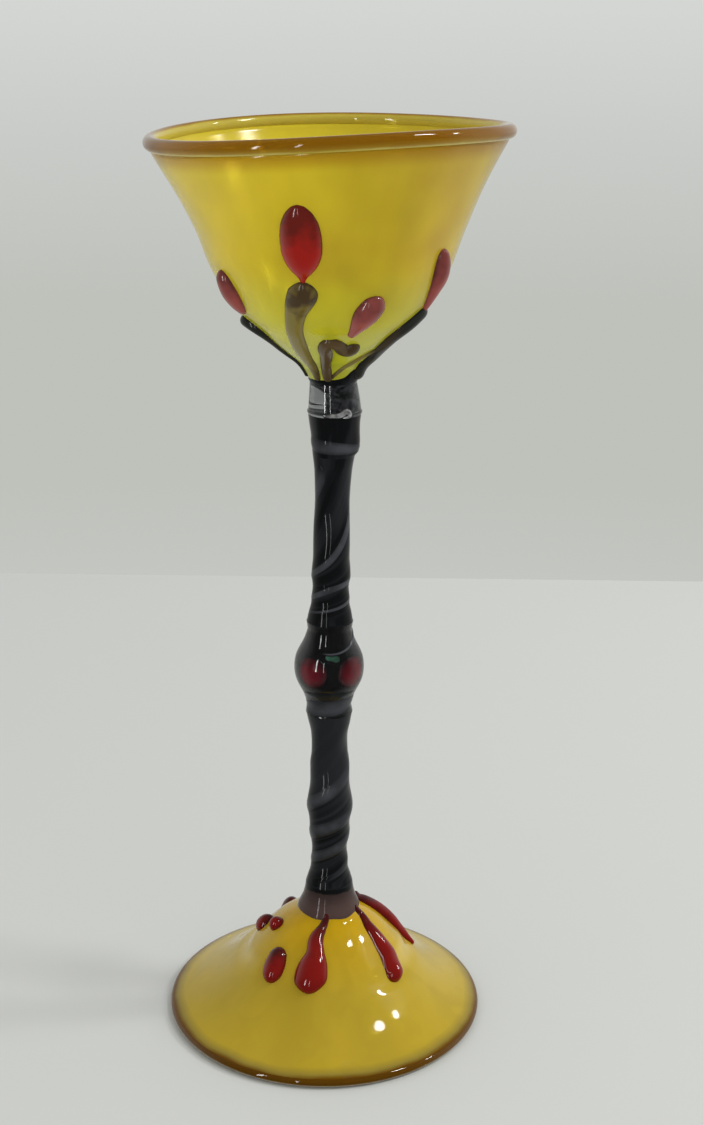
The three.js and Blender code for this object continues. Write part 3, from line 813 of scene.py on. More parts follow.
def amber_foot_glass():
    """Amber opal glass, spun out: warm over the dome, greener outwards, browner in the rolled edge."""

    def paint(tree):
        tone = colours()
        flat, spoke = spokes(tree)
        reach = node(tree, "VectorMath", {0: flat}, operation="LENGTH").outputs["Value"]
        share = node(tree, "MapRange", {"Value": reach, "From Min": 8 * MM, "From Max": 42 * MM})
        wander = node(tree, "Math", {0: clouds(tree, 18 * MM), 1: 0.08, 2: share}, operation="MULTIPLY_ADD")
        warm = node(
            tree, "ValToRGB", {"Fac": wander},
            (
                (0.1, tone.amber), (0.5, tone.foot_yellow), (0.91, tone.foot_yellow),
                (0.97, tone.foot_edge), (1.0, tone.foot_brown),
            ),
        )
        # Painted highlight: pale bands along the creases at both sides of the dome, where the grooves would
        # catch the light
        painted_crease_highlight = node(tree, "ValToRGB", {"Fac": share}, ((0.33, 0), (0.37, 1), (0.39, 1), (0.46, 0)))
        sides = beside(tree, spoke, 0.8, 0.98, most=0.4)
        painted_crease_highlight = node(tree, "Math", {0: painted_crease_highlight, 1: sides}, operation="MULTIPLY")
        warm = node(tree, "MixRGB", {"Fac": painted_crease_highlight, "Color1": warm, "Color2": tone.painted_crease_highlight})
        bend = node(tree, "VectorMath", {0: spoke, "Scale": clouds(tree, 12 * MM)}, operation="SCALE")
        streak = node(tree, "TexNoise", {"Vector": bend, "Scale": 3.0, "Detail": 2.0})
        return shaded(tree, warm, node(tree, "ValToRGB", {"Fac": streak}, ((0.36, 0.9), (0.6, 1))))

    return glass_material("amber_foot_glass_spun", paint, roughness=0.06, gloss=0.22, clear=0.35)


def brown_wrap_glass(name, inner, brown, towards):
    """Brown glass, trailed hot round an edge: deep on one side, thinning to the edge's own colour."""

    def paint(tree):
        section = node(tree, "Attribute", {}, attribute_name="section").outputs["Vector"]
        outwards = node(tree, "VectorMath", {0: section, 1: towards}, operation="DOT_PRODUCT")
        outwards = outwards.outputs["Value"]
        drift = node(tree, "Math", {0: clouds(tree, 7 * MM), 1: 0.3, 2: outwards}, operation="MULTIPLY_ADD")
        depth = node(tree, "MapRange", {"Value": drift, "From Min": -0.6, "From Max": 1.1})
        amber = blend(brown, colours().ochre, 0.35)
        return node(tree, "ValToRGB", {"Fac": depth}, ((0.34, inner), (0.56, amber), (0.76, brown)))

    return glass_material(name, paint, roughness=0.04, gloss=0.4, clear=0.5)


def smoky_black(tree):
    """Near black, with faint smoky streaks that follow the twist, and thinner below the knop."""
    tone = colours()
    drawn = node(tree, "Attribute", {}, attribute_name="drawn").outputs["Vector"]
    streak = clouds(tree, 3.5 * MM, stretch=(1, 1, 0.08), vector=drawn)
    faint = blend(tone.black, tone.smoke, 0.3)
    colour = node(tree, "ValToRGB", {"Fac": streak}, ((0.45, tone.black), (0.75, faint)))
    low, middle, high = lowest("lower_stem"), highest("lower_stem"), highest("knop_core")
    thinner = (
        (mix(low, middle, 0.42), 0), (mix(low, middle, 0.6), 0.75),
        (mix(middle, high, 0.04), 0.75), (mix(middle, high, 0.4), 0),
    )
    height = node(tree, "SeparateXYZ", {"Vector": drawn}).outputs["Z"]
    share = node(tree, "MapRange", {"Value": height, "From Min": low, "From Max": high})
    thin = node(tree, "ValToRGB", {"Fac": share}, [((z - low) / (high - low), grey) for z, grey in thinner])
    return node(tree, "MixRGB", {"Fac": thin, "Color1": colour, "Color2": faint})


def black_stem_glass():
    """Black glass, pulled and twisted: its streaks follow the twist."""
    return glass_material("black_glass_twisted", smoky_black, roughness=0.06, gloss=0.12)


def smoke_trail_glass(name, fades_from, fades_to):
    """Grey opal thread, twisted into the stem: a soft pale band that fades at both ends."""

    def paint(tree):
        share, side, _ = laid_parts(tree)
        side = node(tree, "Math", {0: side}, operation="ABSOLUTE")
        across = node(
            tree, "MapRange", {"Value": side, "From Min": 0.95, "From Max": 0.1},
            interpolation_type="SMOOTHSTEP",
        )
        along = node(
            tree, "ValToRGB", {"Fac": share}, ((0.03, 0), (0.12, 1), (fades_from, 1), (fades_to, 0))
        )
        thick = node(
            tree, "MapRange",
            {"Value": clouds(tree, 6 * MM), "From Min": 0.3, "From Max": 0.65, "To Min": 0.35},
        )
        smoke = node(tree, "Math", {0: across, 1: along}, operation="MULTIPLY")
        smoke = node(tree, "Math", {0: smoke, 1: thick}, operation="MULTIPLY")
        return node(tree, "MixRGB", {"Fac": smoke, "Color1": smoky_black(tree), "Color2": colours().smoke})

    return glass_material(name, paint, roughness=0.08, gloss=0.12)


def smoky_collar_glass():
    """Dark glass gathered on the foot: black above, thinning to reddish smoke in its skirt."""

    def paint(tree):
        tone = colours()
        place = node(tree, "TexCoord", {}).outputs["Object"]
        height = node(tree, "SeparateXYZ", {"Vector": place}).outputs["Z"]
        low, high = lowest("foot_collar"), highest("foot_collar")
        share = node(tree, "MapRange", {"Value": height, "From Min": low, "From Max": high})
        wander = node(tree, "Math", {0: clouds(tree, 3 * MM), 1: 0.3, 2: share}, operation="MULTIPLY_ADD")
        faint = blend(tone.black, tone.collar, 0.5)
        stops = ((0.25, tone.collar), (0.92, faint), (1.0, tone.black))
        return node(tree, "ValToRGB", {"Fac": wander}, stops)

    return glass_material("smoky_glass_gathered_on_foot", paint, roughness=0.06, gloss=0.12)


def smoky_casing_glass():
    """Clear glass with a grey tint, gathered over a core: bright edges, and what lies inside shows."""
    tone = colours().casing
    grey = [value * 0.6 for value in tone]
    stops = ((0.3, grey), (0.7, tone))
    return clouded("smoky_casing_gathered", 5 * MM, stops, roughness=0.03, gloss=0.1, clear=0.985)


def mottled_heart_glass():
    """Dark glass full of fine air and ash inside the neck: mottled grey over black."""
    tone = colours()
    stops = ((0.3, tone.black), (0.44, tone.smoke), (0.62, tone.casing))
    return clouded("mottled_glass_in_neck", 1.6 * MM, stops, detail=4.0, roughness=0.2, gloss=0.12)


def pale_curl_glass():
    """Clear glass trapped in the seam, painted pale as a highlight: a pale line."""
    tone = colours().curl
    dim = [value * 0.3 for value in tone]
    return clouded(
        "pale_glass_in_seam_painted_highlight", 1.5 * MM, ((0.35, dim), (0.6, tone)), roughness=0.05, clear=0.5
    )


def laid_glass(name, stops, cloud_size, sides=None, **finish):
    """Glass laid hot on a wall, coloured along its route, with soft clouds and a darker outline."""

    def paint(tree):
        share, _, up = laid_parts(tree)
        cloud = clouds(tree, cloud_size)
        drift = node(tree, "Math", {0: cloud, 1: 0.8, 2: share}, operation="MULTIPLY_ADD")
        share = node(tree, "MapRange", {"Value": drift, "From Min": 0.1, "From Max": 1.5})
        colour = node(tree, "ValToRGB", {"Fac": share}, stops)
        if sides:
            far = beside(tree, spokes(tree)[1], 0.66, 0.8)
            colour = node(tree, "MixRGB", {"Fac": far, "Color1": colour, "Color2": sides})
        return shaded(tree, colour, node(tree, "ValToRGB", {"Fac": up}, ((0.05, 0.45), (0.55, 1))))

    return glass_material(name, paint, **finish)


def bud_glass(name, above, below):
    """Red glass over a dark gather, dropped on hot: darker above than below."""
    return laid_glass(name, ((0.34, above), (0.6, below)), 4 * MM, roughness=0.12)


def stalk_glass(name, middle):
    """Brown glass, trailed hot: darker knobs and ends than its middle, and black at the sides."""
    tone = colours()
    stops = ((0.28, tone.stalk_grey), (0.4, middle), (0.75, middle), (0.95, tone.stalk_grey))
    return laid_glass(name, stops, 5 * MM, sides=tone.stalk_dark, roughness=0.14, gloss=0.3)


def drip_glass():
    """Red glass, dripped hot: deep red, darker where it leaves the collar."""
    tone = colours()
    dark = blend(tone.drip, tone.black, 0.75)
    stops = ((0.3, dark), (0.62, tone.drip))
    return laid_glass("red_glass_dripped", stops, 4 * MM, roughness=0.05, gloss=0.45)


def leaf_glass():
    """Green glass thread, melted on the core: paler at the end that it was laid from."""
    tone = colours().leaf
    dim = [value * 0.5 for value in tone]
    return laid_glass("green_leaf_glass_melted", ((0.2, tone), (1.0, dim)), 2 * MM, roughness=0.15)


def berry_glass():
    """Magenta glass dots melted on a dark core: bright in the middle, soft at the rim."""

    def paint(tree):
        tone = colours()
        share, _, up = laid_parts(tree)
        rest = node(tree, "Math", {0: 1.0, 1: share}, operation="SUBTRACT")
        hump = node(tree, "Math", {0: share, 1: rest}, operation="MULTIPLY")
        up = node(tree, "Math", {0: up, 1: 2.0}, operation="POWER")
        depth = node(tree, "Math", {0: hump, 1: up}, operation="MULTIPLY")
        return node(tree, "ValToRGB", {"Fac": depth}, ((0.02, tone.black), (0.22, tone.berry)))

    return glass_material("berry_glass_melted", paint, roughness=0.15)


# Pieces

# The foot's rolled edge, from the table up: millimetres out from the foot's radius, share of its height
FOOT_EDGE_SHAPE = (
    (-0.5, 0), (0, 0.1818), (0.2, 0.55), (1.3, 0.68), (2.25, 0.7), (1.6, 0.81), (0.7, 0.92), (0, 1),
)

# The bevel inside the ring that the foot stands on, and how far the trail round the foot has spread
FOOT_REST_BEVEL = 0.3 * MM
FOOT_WRAP_SPREAD = 0.2 * MM

# The bowl's rounded edge, as shares of its wall, then the rounded floor of its hollow, from the side to
# the middle, as shares of its spread and of its rise, and how many walls' thicknesses it rises at least
BOWL_EDGE_SHAPE = ((0.1, 0.22), (0.3, 0.4), (0.5, 0.46), (0.7, 0.4), (0.9, 0.22))
BOWL_FLOOR_SHAPE = ((1, 1), (0.8, 0.45), (0.45, 0.1), (0, 0))
BOWL_FLOOR_RISE = 1.5

# The foot collar's skirt: how thick its hem and its fold are, how far it flares out, over how many
# steps of the collar's wall it does so, how high over the foot the hem is even again, how far it drops
# and spreads as shares of the skirt, and the size of its waves
HEM_THICKNESS = 0.05 * MM
FOLD_THICKNESS = 0.3 * MM
SKIRT_FLARE = 0.25 * MM
FLARE_STEPS = 5
HEM_FADE = 1 * MM
HEM_DROP = 0.6
HEM_SPREAD = 0.45
HEM_WAVE = 6 * MM

# The neck's dark heart: share of the neck's height, radius in millimetres. It leans to +X below, and
# comes back from a share of its height to its top.
NECK_HEART = ((0, 3.4), (0.4, 3), (0.75, 3.6), (1, 5.2))
NECK_HEART_LEAN = 1.6 * MM
NECK_HEART_BEND = 0.6

# The bead at the neck's seam: its height over the seam, and how far it reaches up and down
NECK_BEAD_LIFT = 0.6 * MM
NECK_BEAD_HALF = 0.7 * MM

# The knop's casing at its thin ends, and how round it swells between them
CASING_SKIN = 0.08 * MM
CASING_ROUNDNESS = 1.2

# Smoke lies flatter in the wall than other laid glass
SMOKE_SOFTNESS = 2.0


class PieceOperator:
    """What every operator of the glass shares."""

    bl_options = {"REGISTER", "UNDO"}

    def execute(self, context):
        self.make(TrueGlass(context.scene.wine_glass_sizes))
        return {"FINISHED"}


class WINEGLASS_OT_foot(PieceOperator, bpy.types.Operator):
    """Spin out the domed foot, hollow beneath"""

    bl_idname = "wineglass.foot"
    bl_label = "Foot"

    def make(self, glass):
        sizes = glass.sizes
        rest_inside = glass.foot_radius - sizes.foot_rest
        under = [
            point for point in glass.foot.spread(1, 0, distance=-sizes.foot_wall)
            if glass.collar_radius < point.x < rest_inside - sizes.foot_wall / 2
        ]
        edge = GlassLine(
            (glass.foot_radius + out * MM, up * sizes.foot_edge) for out, up in FOOT_EDGE_SHAPE
        )
        outline = [
            (0, glass.foot_top - sizes.foot_wall),
            *under,
            (rest_inside - FOOT_REST_BEVEL, FOOT_REST_BEVEL),
            (rest_inside, 0),
            *edge.spread(step=FINE_STEP),
            *glass.foot.spread()[1:],
            (0, glass.foot_top),
        ]
        finish_piece(glass, "spun_foot", turned(outline), amber_foot_glass(), "amber_foot_glass", "foot")


class WINEGLASS_OT_wraps(PieceOperator, bpy.types.Operator):
    """Lay the brown trails round the lip and round the foot's edge"""

    bl_idname = "wineglass.wraps"
    bl_label = "Lip and foot wraps"

    def make(self, glass):
        sizes, tone = glass.sizes, colours()
        edge = glass.bowl.off(1, -sizes.bowl_wall / 2)
        lip = edge + glass.bowl.at(1)[1] * (sizes.seat_gap + sizes.lip_radius)
        half = sizes.foot_wrap + FOOT_WRAP_SPREAD
        low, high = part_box("foot_edge_wrap")
        rim = (high.y - half, (low.z + high.z) / 2)
        for name, bm, inner, brown, towards, piece, node_name in (
            (
                "brown_glass_trailed_on_lip", ring(lip, sizes.lip_radius),
                tone.lip_inside, tone.brown, (0.7, 0.6, 0), "wrapped_lip", "lip_wrap",
            ),
            # The foot's trail pales towards its underside: partly the edge's own colour through thinner
            # glass, partly a painted line of light along the foot's bottom edge
            (
                "brown_glass_rolled_on_foot", ring(rim, half, sizes.foot_wrap / half),
                tone.foot_edge, tone.foot_brown, (0.6, 0.8, 0), "wrapped_foot_edge", "foot_edge_wrap",
            ),
        ):
            material = brown_wrap_glass(name, inner, brown, towards)
            finish_piece(glass, piece, bm, material, "brown_wrap_glass", node_name)


class WINEGLASS_OT_stem(PieceOperator, bpy.types.Operator):
    """Pull and twist the dark stem and its collars"""

    bl_idname = "wineglass.stem"
    bl_label = "Stem"

    def make(self, glass):
        skirt = glass.sizes.collar_skirt
        wall = glass.foot_collar.spread(step=COLLAR_STEP)
        hem = glass.foot.off(1 - skirt / glass.foot.length, HEM_THICKNESS)
        fold = glass.foot.off(1 - 0.5 * skirt / glass.foot.length, FOLD_THICKNESS)
        flare = GlassLine((hem, fold, (wall[1].x + SKIRT_FLARE, wall[1].y), wall[FLARE_STEPS]))
        bm = rod([*flare.spread(step=FINE_STEP), *wall[FLARE_STEPS + 1 :]])
        for vert in bm.verts:
            x, y, z = vert.co
            low = 1 - ease(z, hem.y, glass.foot_top + HEM_FADE)
            drop = HEM_DROP * low * skirt * noise.noise(Vector((x, y, 0)) / HEM_WAVE)
            vert.co += Vector((x / hem.x * HEM_SPREAD, y / hem.x * HEM_SPREAD, -1)) * drop
        material = smoky_collar_glass()
        finish_piece(glass, "drawn_foot_collar", bm, material, "dark_stem_glass", "foot_collar")

        for name, wall, node_name in (
            ("twisted_lower_stem", glass.lower_stem, "lower_stem"),
            ("dark_knop_core", glass.knop, "knop_core"),
            ("twisted_upper_stem", glass.upper_stem, "upper_stem"),
            ("dark_stem_knuckle", glass.knuckle, "stem_knuckle"),
        ):
            bm = rod(wall.spread(step=STEM_STEP))
            finish_piece(glass, name, bm, black_stem_glass(), "dark_stem_glass", node_name)


class WINEGLASS_OT_trails(PieceOperator, bpy.types.Operator):
    """Twist the grey trails round the two stems"""

    bl_idname = "wineglass.trails"
    bl_label = "Stem trails"

    def make(self, glass):
        rise, width = glass.sizes.trail_rise, glass.sizes.trail_width / MM
        for label, wall, rows, fade in (
            ("upper_stem", glass.upper_stem, UPPER_TWIST, (0.93, 1.0)),
            ("lower_stem", glass.lower_stem, LOWER_TWIST, (0.7, 0.88)),
        ):
            material = smoke_trail_glass(f"smoke_thread_in_{label}", *fade)
            half_widths = [share * width for _, _, share in rows]
            for twin in (0, 1):
                name = f"{label}_trail_{twin + 1}"
                route = [(azimuth + twin * 180, way) for way, azimuth, _ in rows]
                lay(
                    glass, wall, (route, half_widths), rise, f"twisted_{name}", material,
                    "grey_trail_glass", name, softness=SMOKE_SOFTNESS, round_steps=TRAIL_ROUND_STEPS,
                )

        material = smoke_trail_glass("smoke_fold_on_knuckle", 0.75, 0.95)
        lay(
            glass, glass.knuckle, KNUCKLE_FOLD, rise, "folded_smoke_on_knuckle", material,
            "grey_trail_glass", softness=SMOKE_SOFTNESS,
        )


class WINEGLASS_OT_knop(PieceOperator, bpy.types.Operator):
    """Melt the berries and leaves on the knop, and case them in smoky glass"""

    bl_idname = "wineglass.knop"
    bl_label = "Knop"

    def make(self, glass):
        sizes = glass.sizes
        knop_length = glass.knop_top - glass.knop_bottom
        half = sizes.berry_radius / knop_length
        berry = ((0, 0.5 + half), (0, 0.5 - half))
        over = 0.5 + sizes.leaf_lift / knop_length
        arch = sizes.seat_gap / knop_length
        leaf = ((-LEAF_HALF_SPAN, over + arch), (0, over + arch / 2), (LEAF_HALF_SPAN, over - 2 * arch))
        for label, count, first, route, width, rise, material, slot in (
            (
                "berry", BERRY_COUNT, BERRY_FIRST_AZIMUTH, berry, sizes.berry_radius, sizes.berry_rise,
                berry_glass(), "red_bud_glass",
            ),
            (
                "leaf", LEAF_COUNT, LEAF_FIRST_AZIMUTH, leaf, sizes.leaf_width, sizes.leaf_rise,
                leaf_glass(), "green_leaf_glass",
            ),
        ):
            for i in range(count):
                azimuth = first + 360 * i / count
                laying = [(azimuth + aside, way) for aside, way in route], (width / MM,) * 2
                name = f"knop_{label}_{i + 1}"
                lay(
                    glass, glass.knop, laying, rise + sizes.seat_gap,
                    f"melted_{name}", material, slot, name,
                )

        low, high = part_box("knop_sleeve")
        swell = high.y - sizes.knop_core
        outline = []
        for place in glass.knop.spread(step=COLLAR_STEP):
            share = mix(-1, 1, (place.y - low.z) / (high.z - low.z))
            bulge = max(0, 1 - share * share) ** CASING_ROUNDNESS
            outline.append((place.x + mix(CASING_SKIN, swell, bulge), place.y))
        finish_piece(
            glass, "smoky_knop_casing", rod(outline), smoky_casing_glass(),
            "clear_casing_glass", "knop_sleeve",
        )

        casing = GlassLine(outline)
        smoke = smoke_trail_glass("smoke_fold_on_knop", 0.75, 0.95)
        for name, laying, material, slot in (
            ("folded_smoke_on_knop", KNOP_FOLD, smoke, "grey_trail_glass"),
            ("smoke_wisp_on_knop", KNOP_WISP, smoke, "grey_trail_glass"),
            # dark_shade_on_knop is painted shade: a band of dark glass on the knop's lower half
            ("dark_shade_on_knop", KNOP_SHADE, black_stem_glass(), "dark_stem_glass"),
        ):
            lay(glass, casing, laying, sizes.trail_rise, name, material, slot, softness=SMOKE_SOFTNESS)


class WINEGLASS_OT_neck(PieceOperator, bpy.types.Operator):
    """Gather the smoky collar under the bowl, over its dark heart"""

    bl_idname = "wineglass.neck"
    bl_label = "Neck collar"

    def make(self, glass):
        sizes = glass.sizes
        low, high = glass.neck_bottom, glass.bowl_bottom
        outline = []
        for place in glass.neck.spread(step=BEAD_STEP):
            from_bead = abs(place.y - low - NECK_BEAD_LIFT)
            outline.append((place.x + sizes.neck_bead * (1 - ease(from_bead, 0, NECK_BEAD_HALF)), place.y))
        finish_piece(
            glass, "smoky_neck_collar", rod(outline), smoky_casing_glass(),
            "clear_casing_glass", "neck_collar",
        )

        heart = GlassLine((radius * MM, mix(low, high, way)) for way, radius in NECK_HEART)
        bm = rod(heart.spread(step=FINE_STEP))
        for vert in bm.verts:
            vert.co.x += NECK_HEART_LEAN * (1 - ease(vert.co.z, mix(low, high, NECK_HEART_BEND), high))
        finish_piece(glass, "dark_neck_heart", bm, mottled_heart_glass(), "dark_stem_glass")

        lay(
            glass, glass.neck, NECK_CURL, sizes.curl_rise,
            "clear_curl_on_neck", pale_curl_glass(), "clear_casing_glass",
        )
        lay(
            glass, glass.bowl, DARK_RING, sizes.ring_rise,
            "dark_ring_on_neck", black_stem_glass(), "dark_stem_glass",
        )


class WINEGLASS_OT_bowl(PieceOperator, bpy.types.Operator):
    """Blow the flared bowl of opal yellow glass"""

    bl_idname = "wineglass.bowl"
    bl_label = "Bowl"

    def make(self, glass):
        sizes = glass.sizes
        wall = sizes.bowl_wall
        floor = glass.bowl_bottom + sizes.bowl_floor
        along = glass.bowl.at(1)[1]
        edge = [glass.bowl.off(1, -wall * share) + along * wall * rise for share, rise in BOWL_EDGE_SHAPE]
        inside = [
            point for point in glass.bowl.spread(1, 0, distance=-wall)
            if point.y > floor + wall * BOWL_FLOOR_RISE
        ]
        low = inside[-1]
        rounded = GlassLine((low.x * out, mix(floor, low.y, up)) for out, up in BOWL_FLOOR_SHAPE)
        outline = [(0, glass.bowl_bottom), *glass.bowl.spread(), *edge, *inside, *rounded.spread()[1:]]
        bm = turned(outline)
        blown = bm.verts.layers.float_vector.new("blown")
        for vert in bm.verts:
            rise = (vert.co.z - glass.bowl_bottom) / sizes.bowl_height
            depth = glass.bowl.across_at(vert.co.z) - math.hypot(vert.co.x, vert.co.y)
            vert[blown] = (rise, 1 if depth < wall / 2 else 0, 0)
        finish_piece(glass, "blown_bowl", bm, opal_yellow_glass(), "yellow_bowl_glass", "bowl")


class WINEGLASS_OT_buds(PieceOperator, bpy.types.Operator):
    """Drop the red buds on the bowl"""

    bl_idname = "wineglass.buds"
    bl_label = "Buds"

    def make(self, glass):
        tone = colours()
        deep = bud_glass("deep_red_glass_dropped", tone.bud_maroon, tone.bud_red)
        # The other buds take a painted sheen: paler, pinker reds in place of the reflection on them
        sheened = bud_glass("red_glass_dropped_painted_sheen", tone.bud_sheen_dark_painted, tone.bud_sheen_pale_painted)
        rise = glass.sizes.bud_rise + glass.sizes.seat_gap
        for i, laying in enumerate(BUDS):
            name = f"bowl_bud_{i + 1}"
            material = deep if i == BIG_BUD else sheened
            lay(glass, glass.bowl, laying, rise, f"dropped_{name}", material, "red_bud_glass", name)


class WINEGLASS_OT_stalks(PieceOperator, bpy.types.Operator):
    """Trail the brown stalks from the buds down to the neck"""

    bl_idname = "wineglass.stalks"
    bl_label = "Stalks"

    def make(self, glass):
        tone, sizes = colours(), glass.sizes
        olive = stalk_glass("olive_glass_trailed", tone.stalk)
        umber = stalk_glass("umber_glass_trailed", tone.stalk_umber)
        rise = sizes.stalk_rise + sizes.seat_gap
        for i, laying in enumerate(STALKS):
            name = f"bowl_stalk_{i + 1}"
            material = olive if i == BIG_BUD else umber
            lay(glass, glass.bowl, laying, rise, f"trailed_{name}", material, "brown_stalk_glass", name)
        lay(glass, glass.bowl, STRAND, sizes.strand_rise, "trailed_thin_strand", olive, "brown_stalk_glass")


class WINEGLASS_OT_drips(PieceOperator, bpy.types.Operator):
    """Drip the red glass down the foot"""

    bl_idname = "wineglass.drips"
    bl_label = "Drips"

    def make(self, glass):
        rise = glass.sizes.drip_rise + glass.sizes.seat_gap
        for i, laying in enumerate(DRIPS):
            name = f"foot_drip_{i + 1}"
            lay(glass, glass.foot, laying, rise, f"red_{name}", drip_glass(), "red_drip_glass", name)


# The studio's lamps: name, azimuth and elevation in degrees, distance, width and height in metres,
# strength as the radiance of the lamp's face, whether it lights matt surfaces, and whether gloss
# shows it. Round lamps have one size.
LAMPS = (
    ("ceiling_lamp_high", -12, 55, 1.3, 0.18, 0.18, 28, True, True),
    ("ceiling_lamp_low", 6, 42, 1.3, 0.11, 0.11, 40, True, True),
    ("window_lamp", 2, 36, 1.5, 0.5, 0.34, 10, True, False),
    ("strip_lamp_left", -132, 8, 1.1, 0.07, 0.7, 16, False, True),
    ("strip_lamp_front", -107, 8, 1.1, 0.04, 0.6, 11, False, True),
)

# The camera of the photograph: place in metres, tilt and roll in degrees, lens in millimetres
CAMERA_PLACE = (5.87 * MM, -408 * MM, 256.5 * MM)
CAMERA_PITCH = 17.96
CAMERA_ROLL = 0.7
CAMERA_LENS = 55.13

# The table's half width, its edges and its gap under the glass, the size of its soft clouds, what the
# lamps point at, and the even light from all round
FLOOR_HALF_WIDTH = 1.8
FLOOR_NEAR_EDGE = -0.1
FLOOR_FAR_EDGE = 0.361
FLOOR_GAP = 0.05 * MM
FLOOR_CLOUD = 0.25
LAMP_AIM = (0, 0, 110 * MM)
WORLD_LEVEL = 0.73

# The pale wall and the dimmer ceiling: elevation in degrees, colour. The room in front of the glass
# is darker than the wall behind it, and the one passes into the other between two directions, given
# as how far each points to the back.
WALL_COLOURS = (
    (-18.4, "#c4c6c1"), (-15.2, "#bfc1bb"), (-9.2, "#bfc1bb"), (-4.2, "#c9cbc8"),
    (0, "#d4d6d3"), (22, "#d0d2cf"), (48, "#7a7c7a"), (90, "#5c5e5c"),
)
ROOM_COLOUR = "#444544"
WALL_DIRECTION = 0.3
ROOM_DIRECTION = -0.4


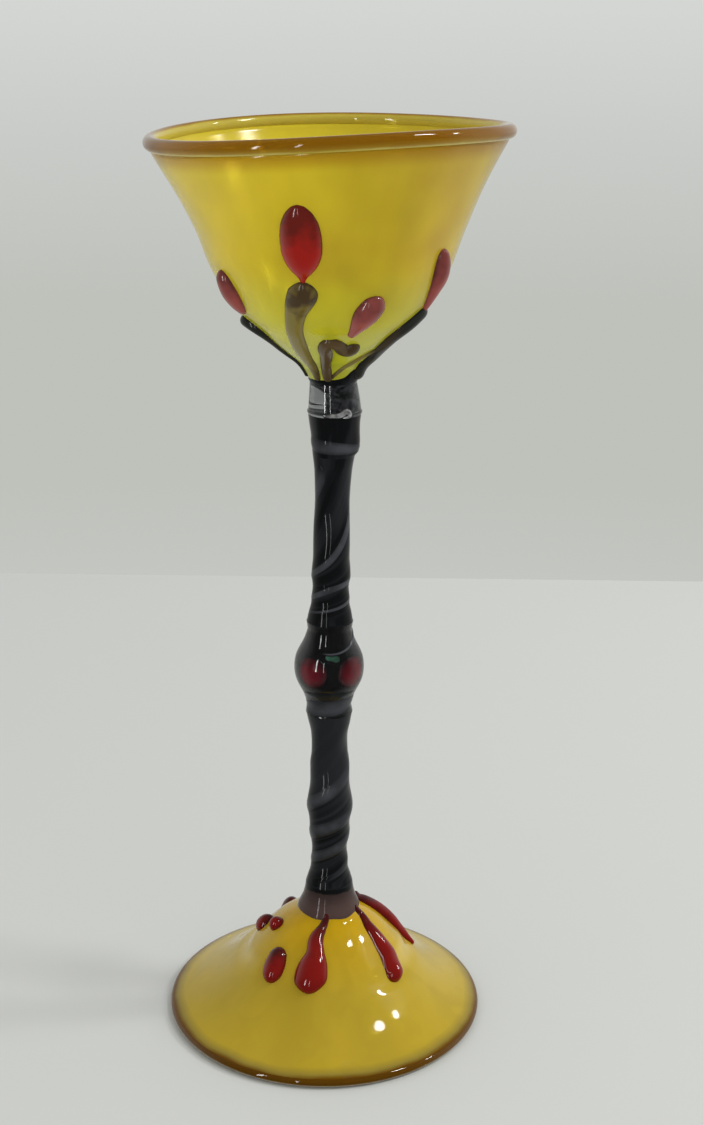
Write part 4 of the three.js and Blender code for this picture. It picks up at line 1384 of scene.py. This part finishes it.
class WINEGLASS_OT_stage(bpy.types.Operator):
    """Set the pale table, the soft lamps and the camera"""

    bl_idname = "wineglass.stage"
    bl_label = "Stage"

    def execute(self, context):
        context.scene.view_settings.view_transform = "Standard"
        self.make_floor(context)
        self.make_world(context)
        self.make_lamps(context)
        self.make_camera(context)
        return {"FINISHED"}

    def make_floor(self, context):
        bm = bmesh.new()
        bmesh.ops.create_grid(bm, x_segments=1, y_segments=1, size=1)
        for vert in bm.verts:
            far = FLOOR_FAR_EDGE if vert.co.y > 0 else FLOOR_NEAR_EDGE
            vert.co = (vert.co.x * FLOOR_HALF_WIDTH, far, -FLOOR_GAP)
        mesh = bpy.data.meshes.new("table")
        bm.to_mesh(mesh)
        bm.free()
        tone = colours().floor
        stops = ((0.3, [value * 0.985 for value in tone]), (0.7, tone))
        mesh.materials.append(clouded("pale_table_matt", FLOOR_CLOUD, stops, roughness=0.6, gloss=0.2))
        floor = bpy.data.objects.new("table", mesh)
        context.scene.collection.objects.link(floor)
        floor.visible_glossy = False

    def make_world(self, context):
        world = bpy.data.worlds.new("studio")
        context.scene.world = world
        world.use_nodes = True
        tree = world.node_tree
        tree.nodes.clear()
        heights = [math.sin(math.radians(elevation)) for elevation, _ in WALL_COLOURS]
        low, high = heights[0], heights[-1]
        stops = [
            ((height - low) / (high - low), linear(colour))
            for height, (_, colour) in zip(heights, WALL_COLOURS)
        ]
        direction = node(tree, "TexCoord", {}).outputs["Generated"]
        _, back, up = node(tree, "SeparateXYZ", {"Vector": direction}).outputs
        share = node(tree, "MapRange", {"Value": up, "From Min": low, "From Max": high})
        wall = node(tree, "ValToRGB", {"Fac": share}, stops)
        front = node(
            tree, "MapRange", {"Value": back, "From Min": WALL_DIRECTION, "From Max": ROOM_DIRECTION}
        )
        wall = node(tree, "MixRGB", {"Fac": front, "Color1": wall, "Color2": linear(ROOM_COLOUR)})
        rays = node(tree, "LightPath", {}).outputs
        seen = node(tree, "Math", {0: rays["Is Camera Ray"], 1: rays["Is Glossy Ray"]}, operation="MAXIMUM")
        seen = node(tree, "Math", {0: seen, 1: rays["Is Transmission Ray"]}, operation="MAXIMUM")
        light = node(tree, "Background", {"Color": (1, 1, 1), "Strength": WORLD_LEVEL})
        backdrop = node(tree, "Background", {"Color": wall, "Strength": 1.0})
        both = node(tree, "MixShader", {"Fac": seen, 1: light, 2: backdrop})
        node(tree, "OutputWorld", {"Surface": both})

    def make_lamps(self, context):
        for name, azimuth, elevation, distance, width, height, radiance, lights_matt, in_gloss in LAMPS:
            lamp = bpy.data.lights.new(name, "AREA")
            lamp.shape = "ELLIPSE" if width == height else "RECTANGLE"
            lamp.size = width
            lamp.size_y = height
            lamp.energy = radiance * math.pi * width * height
            around, above = math.radians(azimuth), math.radians(elevation)
            level = math.cos(above)
            back = Vector((math.cos(around) * level, math.sin(around) * level, math.sin(above)))
            holder = bpy.data.objects.new(name, lamp)
            holder.location = Vector(LAMP_AIM) + back * distance
            holder.rotation_euler = back.to_track_quat("Z", "Y").to_euler()
            holder.visible_diffuse = lights_matt
            holder.visible_glossy = in_gloss
            context.scene.collection.objects.link(holder)

    def make_camera(self, context):
        camera = bpy.data.cameras.new("camera")
        camera.lens = CAMERA_LENS
        camera.clip_start = 0.01
        holder = bpy.data.objects.new("camera", camera)
        holder.location = CAMERA_PLACE
        holder.rotation_mode = "ZYX"
        holder.rotation_euler = (math.radians(90 - CAMERA_PITCH), 0, math.radians(CAMERA_ROLL))
        context.scene.collection.objects.link(holder)
        context.scene.camera = holder


OPERATORS = (
    WINEGLASS_OT_stage,
    WINEGLASS_OT_foot,
    WINEGLASS_OT_wraps,
    WINEGLASS_OT_stem,
    WINEGLASS_OT_trails,
    WINEGLASS_OT_knop,
    WINEGLASS_OT_neck,
    WINEGLASS_OT_bowl,
    WINEGLASS_OT_buds,
    WINEGLASS_OT_stalks,
    WINEGLASS_OT_drips,
)


class WINEGLASS_PT_pieces(bpy.types.Panel):
    """Lists the pieces of the glass in the order in which they are made"""

    bl_idname = "WINEGLASS_PT_pieces"
    bl_label = "Wine glass"
    bl_space_type = "VIEW_3D"
    bl_region_type = "UI"
    bl_category = "Wine glass"

    def draw(self, context):
        for operator in OPERATORS:
            self.layout.operator(operator.bl_idname)
        for group in (context.scene.wine_glass_sizes, context.scene.wine_glass_colours):
            box = self.layout.box()
            for name in group.bl_rna.properties.keys():
                if name not in ("rna_type", "name"):
                    box.prop(group, name)


CLASSES = (WineGlassSizes, WineGlassColours, *OPERATORS, WINEGLASS_PT_pieces)


def register():
    for made in CLASSES:
        bpy.utils.register_class(made)
    bpy.types.Scene.wine_glass_sizes = PointerProperty(type=WineGlassSizes)
    bpy.types.Scene.wine_glass_colours = PointerProperty(type=WineGlassColours)


def unregister():
    del bpy.types.Scene.wine_glass_colours
    del bpy.types.Scene.wine_glass_sizes
    for made in reversed(CLASSES):
        bpy.utils.unregister_class(made)


def main():
    """Makes the whole glass."""
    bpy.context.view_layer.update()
    register()
    for operator in OPERATORS:
        group, name = operator.bl_idname.split(".")
        getattr(getattr(bpy.ops, group), name)()


if __name__ == "__main__":
    main()
